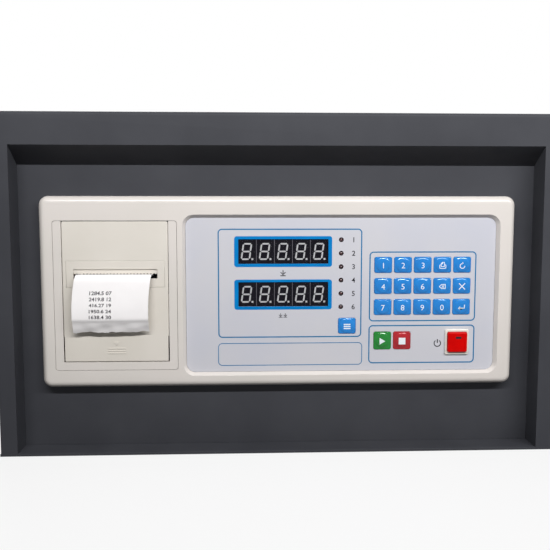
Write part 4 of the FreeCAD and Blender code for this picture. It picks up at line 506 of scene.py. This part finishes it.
def glyphs(text, height, depth, weight=0.0):
    """Lettering in the XY plane, centred and made bolder by a weight, with its own width and height."""
    curve = bpy.data.curves.new("glyphs", "FONT")
    curve.body = text
    curve.size = height / CAPITAL
    curve.extrude = depth / 2
    curve.offset = weight
    curve.resolution_u = GLYPH_STEPS
    holder = bpy.data.objects.new("glyphs", curve)
    bpy.context.scene.collection.objects.link(holder)
    bpy.context.view_layer.update()
    mesh = bpy.data.meshes.new_from_object(holder)
    bm = bmesh.new()
    bm.from_mesh(mesh)
    bpy.data.objects.remove(holder)
    bpy.data.curves.remove(curve)
    bpy.data.meshes.remove(mesh)
    bmesh.ops.remove_doubles(bm, verts=bm.verts, dist=GLYPH_MERGE)
    low = [min(v.co[i] for v in bm.verts) for i in range(3)]
    high = [max(v.co[i] for v in bm.verts) for i in range(3)]
    middle = Vector([-(a + b) / 2 for a, b in zip(low, high)])
    bmesh.ops.translate(bm, verts=bm.verts, vec=middle)
    return bm, high[0] - low[0], high[1] - low[1]


def legend(name, text, place, height, ink, body, fit=None, weight=0.0):
    """Lettering or a pictogram on a face that looks to the front, scaled to fit a width if one is given."""
    bm, wide, tall = glyphs(text, height, LEGEND, weight)
    if fit:
        scale = fit / max(wide, tall)
        bmesh.ops.scale(bm, vec=(scale, scale, 1), verts=bm.verts)
    stood_up(bm, *place)
    piece(name, bm, inks[ink], body)


def housing():
    """Folded steel housing, its recessed panel, base and rear cover."""
    dressed("housing", "console_shell")
    dressed("recessed_panel", "fascia_panel", eased=0.3)
    dressed("base", "base_plate", eased=0.3)
    dressed("rear_panel", "rear_cover", eased=0.25)


def instrument():
    """The cream moulding that frames the printer and the panel."""
    dressed("bezel_moulding", "bezel", eased=0.5)
    dressed("panel_film", "overlay", eased=0.08)
    dressed("readout_windows", "display_windows")
    dressed("force_modules", "force_digits", eased=0.35)
    dressed("rate_modules", "rate_digits", eased=0.35)
    dressed("segment_faces", "digit_segments")


def module_joints():
    """The thin light lines where the digit modules of a readout meet."""
    for name in ("force", "rate"):
        low, high = in_mm(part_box(name + "_digits"))
        pitch = (high.x - low.x) / MODULES
        for index in range(1, MODULES):
            bm = rounded_plate(JOINT_WIDTH, high.z - low.z - 2 * JOINT_INSET, JOINT_CORNER)
            thicken(bm, INK)
            stood_up(bm, low.x + index * pitch, low.y, (low.z + high.z) / 2)
            piece(f"{name}_joint_{index}", bm, inks["joint"], "console")


def panel_prints():
    """Outlines, readout frames and generic marks printed on the film."""
    outline_print("outline_measure", MEASURE_BOX, OUTLINE)
    outline_print("outline_notice", NOTICE_BOX, THIN_OUTLINE)
    outline_print("outline_keypad", KEYPAD_BOX, OUTLINE)
    outline_print("outline_switch", SWITCH_BOX, OUTLINE)
    for name, outer, window in zip(("force", "rate"), READOUT_FRAMES, READOUT_WINDOWS):
        readout_frame(name, outer, window)
    y = PANEL_Y - LEGEND / 2
    for name, mark, z, width in CAPTIONS:
        legend("mark_" + name, mark, (CAPTION_X, y, BEZEL_Z + z), CAPTION_LETTER, "black", "console", width,
               MARK_WEIGHT)
    for number, (x, z) in enumerate(lamp_places(), 1):
        legend(f"lamp_number_{number}", str(number), (x + LAMP_NUMBER_OFFSET, y, z), LAMP_NUMBER, "black",
               "console", weight=MARK_WEIGHT)
    x, z = POWER_MARK
    place = (x, y, BEZEL_Z + z)
    legend("mark_power", "⏻", place, POWER_LETTER, "black", "console", POWER_SIZE, MARK_WEIGHT)


def lamp_places():
    """The lamps' places on the panel as (x, z), from the top down."""
    x = (LAMPS_LOW.x + LAMPS_HIGH.x) / 2
    top = (LAMPS_HIGH.z + LAMPS_LOW.z) / 2 + (LAMPS - 1) / 2 * LAMP_PITCH
    return [(x, top - index * LAMP_PITCH) for index in range(LAMPS)]


def lamps():
    """Six unlit lamps with domed noses."""
    bm = bmesh.new()
    back = LAMPS_HIGH.y - LAMP_BACK
    for x, z in lamp_places():
        tip = Vector((x, LAMPS_LOW.y, z))
        profile = [tip]
        for step in range(1, LAMP_STEPS + 1):
            turn = step / LAMP_STEPS * math.pi / 2
            out, deep = LAMP_RADIUS * math.sin(turn), LAMP_RADIUS * (1 - math.cos(turn))
            profile.append(tip + Vector((out, deep, 0)))
        profile += [Vector((x + LAMP_RADIUS, back, z)), Vector((x, back, z))]
        spun(bm, profile, tip, LAMP_SIDES)
    made = piece("lamps", bm, finishes["lamp_resin"], "console")
    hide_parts("status_lamps")


def spun(bm, profile, centre, steps):
    """Spins a profile a full turn about the Y axis through a centre."""
    verts = [bm.verts.new(point) for point in profile]
    edges = [bm.edges.new(pair) for pair in zip(verts, verts[1:])]
    bmesh.ops.spin(
        bm, geom=verts + edges, cent=centre, axis=(0, 1, 0), angle=2 * math.pi, steps=steps,
        use_merge=True, use_duplicate=False,
    )
    bmesh.ops.remove_doubles(bm, verts=bm.verts, dist=MERGE)
    bmesh.ops.recalc_face_normals(bm, faces=bm.faces)


def key(node):
    """An embossed key top: rounded plate, domed centre with a crisp shoulder, and its stem."""
    low, high = in_mm(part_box(node))
    x = (low.x + high.x) / 2
    z = (low.z + high.z) / 2
    front = low.y + KEY_BUMP
    bm = rounded_plate(high.x - low.x, high.z - low.z, KEY_CORNER)
    thicken(bm, KEY_CAP)
    rim = [e for e in bm.edges if all(v.co.z > KEY_CAP / 2 for v in e.verts)]
    bmesh.ops.bevel(
        bm, geom=rim, offset=KEY_EDGE, affect="EDGES", segments=KEY_EDGE_STEPS, profile=0.5, material=-1,
        clamp_overlap=True,
    )
    stood_up(bm, x, front + KEY_CAP, z)
    tip = Vector((x, low.y, z))
    profile = [tip] + [tip + Vector((out, back, 0)) for out, back in DOME]
    profile.append(tip + Vector((0, DOME[-1][1], 0)))
    dome = bmesh.new()
    spun(dome, profile, tip, DOME_SIDES)
    joined(bm, dome)
    stem = bmesh.new()
    bmesh.ops.create_cube(stem, size=1.0)
    length = high.y - front - KEY_CAP / 2
    bmesh.ops.scale(stem, vec=(STEM, length, STEM), verts=stem.verts)
    bmesh.ops.translate(stem, verts=stem.verts, vec=(x, high.y - length / 2, z))
    joined(bm, stem)
    made = piece(node + "_top", bm, finishes[slot_of[node]], body_of(node))
    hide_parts(node)
    mark = KEY_MARKS[node]
    place = (x, low.y - MARK_PROUD, z - MARK_DROP)
    if mark.isdigit():
        legend(node + "_mark", mark, place, DIGIT_SIZE, "white", body_of(node))
    else:
        legend(node + "_mark", mark, place, MARK_SIZE, "white", body_of(node), MARK_SIZE, MARK_WEIGHT)


def joined(bm, other):
    """Adds another bmesh's form to this one."""
    mesh = bpy.data.meshes.new("joined")
    other.to_mesh(mesh)
    other.free()
    bm.from_mesh(mesh)
    bpy.data.meshes.remove(mesh)


def power_switch():
    """Cream frame, red button, and the small dark bar on its face."""
    dressed("switch_frame", "switch_body", eased=0.35)
    dressed("switch_button", "power_button", eased=0.5)
    bm = rounded_plate(*BAR)
    thicken(bm, INK)
    middle = (BUTTON_LOW + BUTTON_HIGH) / 2
    stood_up(bm, middle.x + BAR_PLACE[0], BUTTON_LOW.y, middle.z + BAR_PLACE[1])
    piece("button_bar", bm, inks["black"], "power_button")


def printer():
    """The printer's frame, tilting door and paper exit."""
    dressed("printer_surround", "printer_frame", eased=0.35)
    dressed("printer_flap", "printer_door", eased=0.3)
    dressed("exit_insert", "paper_exit", eased=0.2)


def curl_point(distance):
    """Place on the receipt's curl, as (mm in front of the door's face, height), and the outward way."""
    points = [Vector(p) for p in CURL]
    points = [points[0] * 2 - points[1]] + points + [points[-1] * 2 - points[-2]]
    left = distance
    for i in range(1, len(points) - 2):
        length = (points[i + 1] - points[i]).length
        if left <= length or i == len(points) - 3:
            t = min(left / length, 1.0)
            a, b, c, d = points[i - 1:i + 3]
            place = 0.5 * (2 * b + (c - a) * t + (2 * a - 5 * b + 4 * c - d) * t * t
                           + (3 * b - a - 3 * c + d) * t ** 3)
            way = 0.5 * ((c - a) + 2 * (2 * a - 5 * b + 4 * c - d) * t + 3 * (3 * b - a - 3 * c + d) * t * t)
            way.normalize()
            return place, Vector((-way.y, way.x))
        left -= length


def curl_length():
    """Length of the receipt's curl."""
    points = [Vector(p) for p in CURL]
    return sum((b - a).length for a, b in zip(points, points[1:]))


def share_along(distance, start, length):
    """How far a distance is through a stretch of the sheet, from none to one."""
    return min(max(distance - start, 0.0) / length, 1.0)


def on_paper(across, distance, lift=0.0):
    """The place of a point on the receipt, from its distances across and along the sheet."""
    place, outward = curl_point(distance)
    sway = SWAY * math.sin(across / SWAY_WIDTH + SWAY_SHIFT) * max(0.0, distance - SWAY_START) / SWAY_LENGTH
    crease = CREASE * share_along(distance, FOLD_START, FOLD_SPREAD)
    for wide, long in CREASE_WAVES:
        crease *= math.sin(across / wide + distance / long)
    place = place + outward * (lift + sway + crease)
    lean = LEAN * math.sin(math.pi / 2 * share_along(distance, LEAN_START, LEAN_LENGTH))
    return Vector((PAPER_LOW.x + RECEIPT_INSET[0] + across - lean, DOOR_Y - place.x, BEZEL_Z + place.y))


def torn(across, ragged):
    """How far the tear reaches past or short of the straight end at a place across."""
    waves = sum(share * math.sin(across * rate + start) for share, rate, start in TEAR_WAVES)
    return TEAR_ROUGHNESS * (waves + TEAR_JAGS * (ragged - 0.5))


def receipt():
    """The printed paper that hangs from the slot, with its torn end."""
    width = PAPER_HIGH.x - PAPER_LOW.x - sum(RECEIPT_INSET)
    length = curl_length()
    bm = bmesh.new()
    bmesh.ops.create_grid(bm, x_segments=PAPER_COLUMNS, y_segments=PAPER_ROWS, size=0.5)
    dice = random.Random(PAPER_SEED)
    ragged = [dice.random() for _ in range(PAPER_COLUMNS + 1)]
    for v in bm.verts:
        column = round((v.co.x + 0.5) * PAPER_COLUMNS)
        across = (v.co.x + 0.5) * width
        reach = length - TEAR_SHORT + torn(across, ragged[column])
        v.co = on_paper(across, (0.5 - v.co.y) * reach)
    bmesh.ops.recalc_face_normals(bm, faces=bm.faces)
    if sum(face.normal.y for face in bm.faces) > 0:
        bmesh.ops.reverse_faces(bm, faces=bm.faces)
    made = piece("receipt", bm, finishes["paper"], body_of("paper_strip"))
    shell = made.modifiers.new("Thickness", "SOLIDIFY")
    shell.thickness = PAPER_THICKNESS * MM
    shell.offset = -1.0
    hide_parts("paper_strip")
    receipt_print()


def receipt_print():
    """Five lines of plain numbers, bent to the paper's curl."""
    for row, text in enumerate(RECEIPT_LINES):
        bm, wide, _ = glyphs(text, RECEIPT_TEXT, PRINT_DEPTH, RECEIPT_WEIGHT)
        bmesh.ops.triangulate(bm, faces=bm.faces[:])
        down = RECEIPT_FIRST_LINE + row * RECEIPT_PITCH
        for v in bm.verts:
            across = RECEIPT_LEFT + (0.5 + v.co.x / wide) * RECEIPT_LINE
            v.co = on_paper(across, down - v.co.y, PRINT_LIFT + v.co.z)
        piece(f"receipt_line_{row + 1}", bm, inks["thermal"], body_of("paper_strip"))


def insides():
    """Screws and everything behind the panel keep their CAD form, most of them with eased edges."""
    for node, eased in (
        ("fascia_screws", 0.2), ("cover_screws", 0.25), ("case_screws", 0.15), ("clamp_screws", 0.2),
        ("cable_grommet", 0.5), ("instrument_case", 0.2), ("panel_clamps", 0.2), ("backing_plate", 0.0),
        ("tact_switches", 0.1), ("keypad_board", 0.1), ("board_standoffs", 0.1), ("main_board", 0.1),
        ("board_components", 0.3), ("mains_transformer", 0.4), ("platen_roller", 0.2),
        ("platen_shaft", 0.1), ("platen_gear", 0.0), ("idler_gear", 0.0), ("motor_pinion", 0.0),
        ("printer_motor", 0.3), ("print_head", 0.3), ("paper_roll", 0.1), ("roll_spindle", 0.3),
        ("paper_web", 0.0),
    ):
        dressed(node + "_finished", node, eased)


def studio():
    """Floor, lamps, white surroundings and the camera."""
    scene = bpy.context.scene
    scene.view_settings.view_transform = "Standard"
    make_floor()
    surroundings()
    lamp("tube", **TUBE)
    lamp("rear", **REAR)
    camera = bpy.data.cameras.new("camera")
    camera.lens = CAMERA_LENS
    camera.sensor_width = SENSOR
    camera.clip_start = CAMERA_NEAR * MM
    holder = bpy.data.objects.new("camera", camera)
    scene.collection.objects.link(holder)
    holder.location = Vector(CAMERA) * MM
    holder.rotation_euler = [math.radians(value) for value in CAMERA_TURN]
    scene.camera = holder


def make_floor():
    """The plain floor that the console stands on."""
    bm = bmesh.new()
    bmesh.ops.create_grid(bm, x_segments=1, y_segments=1, size=FLOOR_SIDE * MM)
    mesh = bpy.data.meshes.new("floor")
    bm.to_mesh(mesh)
    bm.free()
    mesh.materials.append(floor_finish())
    floor = bpy.data.objects.new("floor", mesh)
    bpy.context.scene.collection.objects.link(floor)


def floor_finish():
    """Matt floor that glows near white to the eye and in reflections, but bounces little light."""
    material = bpy.data.materials.new("matt_floor")
    material.use_nodes = True
    tree = material.node_tree
    tree.nodes.clear()
    place = add(tree, "ShaderNodeTexCoord").outputs["Object"]
    drift = add(tree, "ShaderNodeTexNoise", {"Vector": place, **FLOOR_NOISE})
    ramp = add(tree, "ShaderNodeValToRGB", {"Fac": drift.outputs["Fac"]})
    first, last = ramp.color_ramp.elements
    first.color, last.color = [srgb(shade) for shade in FLOOR_SHADES]
    matt = add(tree, "ShaderNodeBsdfDiffuse", {"Color": ramp.outputs["Color"]})
    distance = add(tree, "ShaderNodeVectorMath", {0: place}, operation="LENGTH").outputs["Value"]
    near, far = FLOOR_FADE
    dim, bright = FLOOR_GLOW
    fade = add(
        tree, "ShaderNodeMapRange",
        {"Value": distance, "From Min": near * MM, "From Max": far * MM, "To Min": dim, "To Max": bright},
    )
    glow = add(tree, "ShaderNodeEmission", {"Color": srgb("#ffffff"), "Strength": fade.outputs["Result"]})
    lit = add(tree, "ShaderNodeAddShader", {0: matt.outputs[0], 1: glow.outputs[0]})
    mix = add(tree, "ShaderNodeMixShader", {0: seen_directly(tree), 1: matt.outputs[0], 2: lit.outputs[0]})
    add(tree, "ShaderNodeOutputMaterial", {"Surface": mix.outputs[0]})
    return material


def surroundings():
    """White to the eye and in reflections, and only a faint fill for the rest."""
    world = bpy.data.worlds.new("surroundings")
    bpy.context.scene.world = world
    world.use_nodes = True
    tree = world.node_tree
    tree.nodes.clear()
    fill = add(tree, "ShaderNodeBackground", {"Color": srgb("#ffffff"), "Strength": FILL})
    white = add(tree, "ShaderNodeBackground", {"Color": srgb("#ffffff"), "Strength": WHITE})
    mix = add(tree, "ShaderNodeMixShader", {0: seen_directly(tree), 1: fill.outputs[0], 2: white.outputs[0]})
    add(tree, "ShaderNodeOutputWorld", {"Surface": mix.outputs[0]})


def seen_directly(tree):
    """One for rays from the camera and for mirror-like and see-through rays, or else none."""
    path = add(tree, "ShaderNodeLightPath")
    bent = add(
        tree, "ShaderNodeMath", {0: path.outputs["Is Glossy Ray"], 1: path.outputs["Is Transmission Ray"]},
        operation="MAXIMUM",
    )
    return add(
        tree, "ShaderNodeMath", {0: path.outputs["Is Camera Ray"], 1: bent.outputs[0]}, operation="MAXIMUM",
    ).outputs[0]


def lamp(name, place, target, width, height, power):
    """A soft rectangular lamp aimed at a point."""
    light = bpy.data.lights.new(name, "AREA")
    light.shape = "RECTANGLE"
    light.size = width * MM
    light.size_y = height * MM
    light.energy = power
    holder = bpy.data.objects.new(name, light)
    bpy.context.scene.collection.objects.link(holder)
    holder.location = Vector(place) * MM
    way = Vector(target) - Vector(place)
    holder.rotation_euler = way.to_track_quat("-Z", "Y").to_euler()


housing()
instrument()
panel_prints()
module_joints()
lamps()
for node_name in KEY_MARKS:
    key(node_name)
power_switch()
printer()
receipt()
insides()
studio()
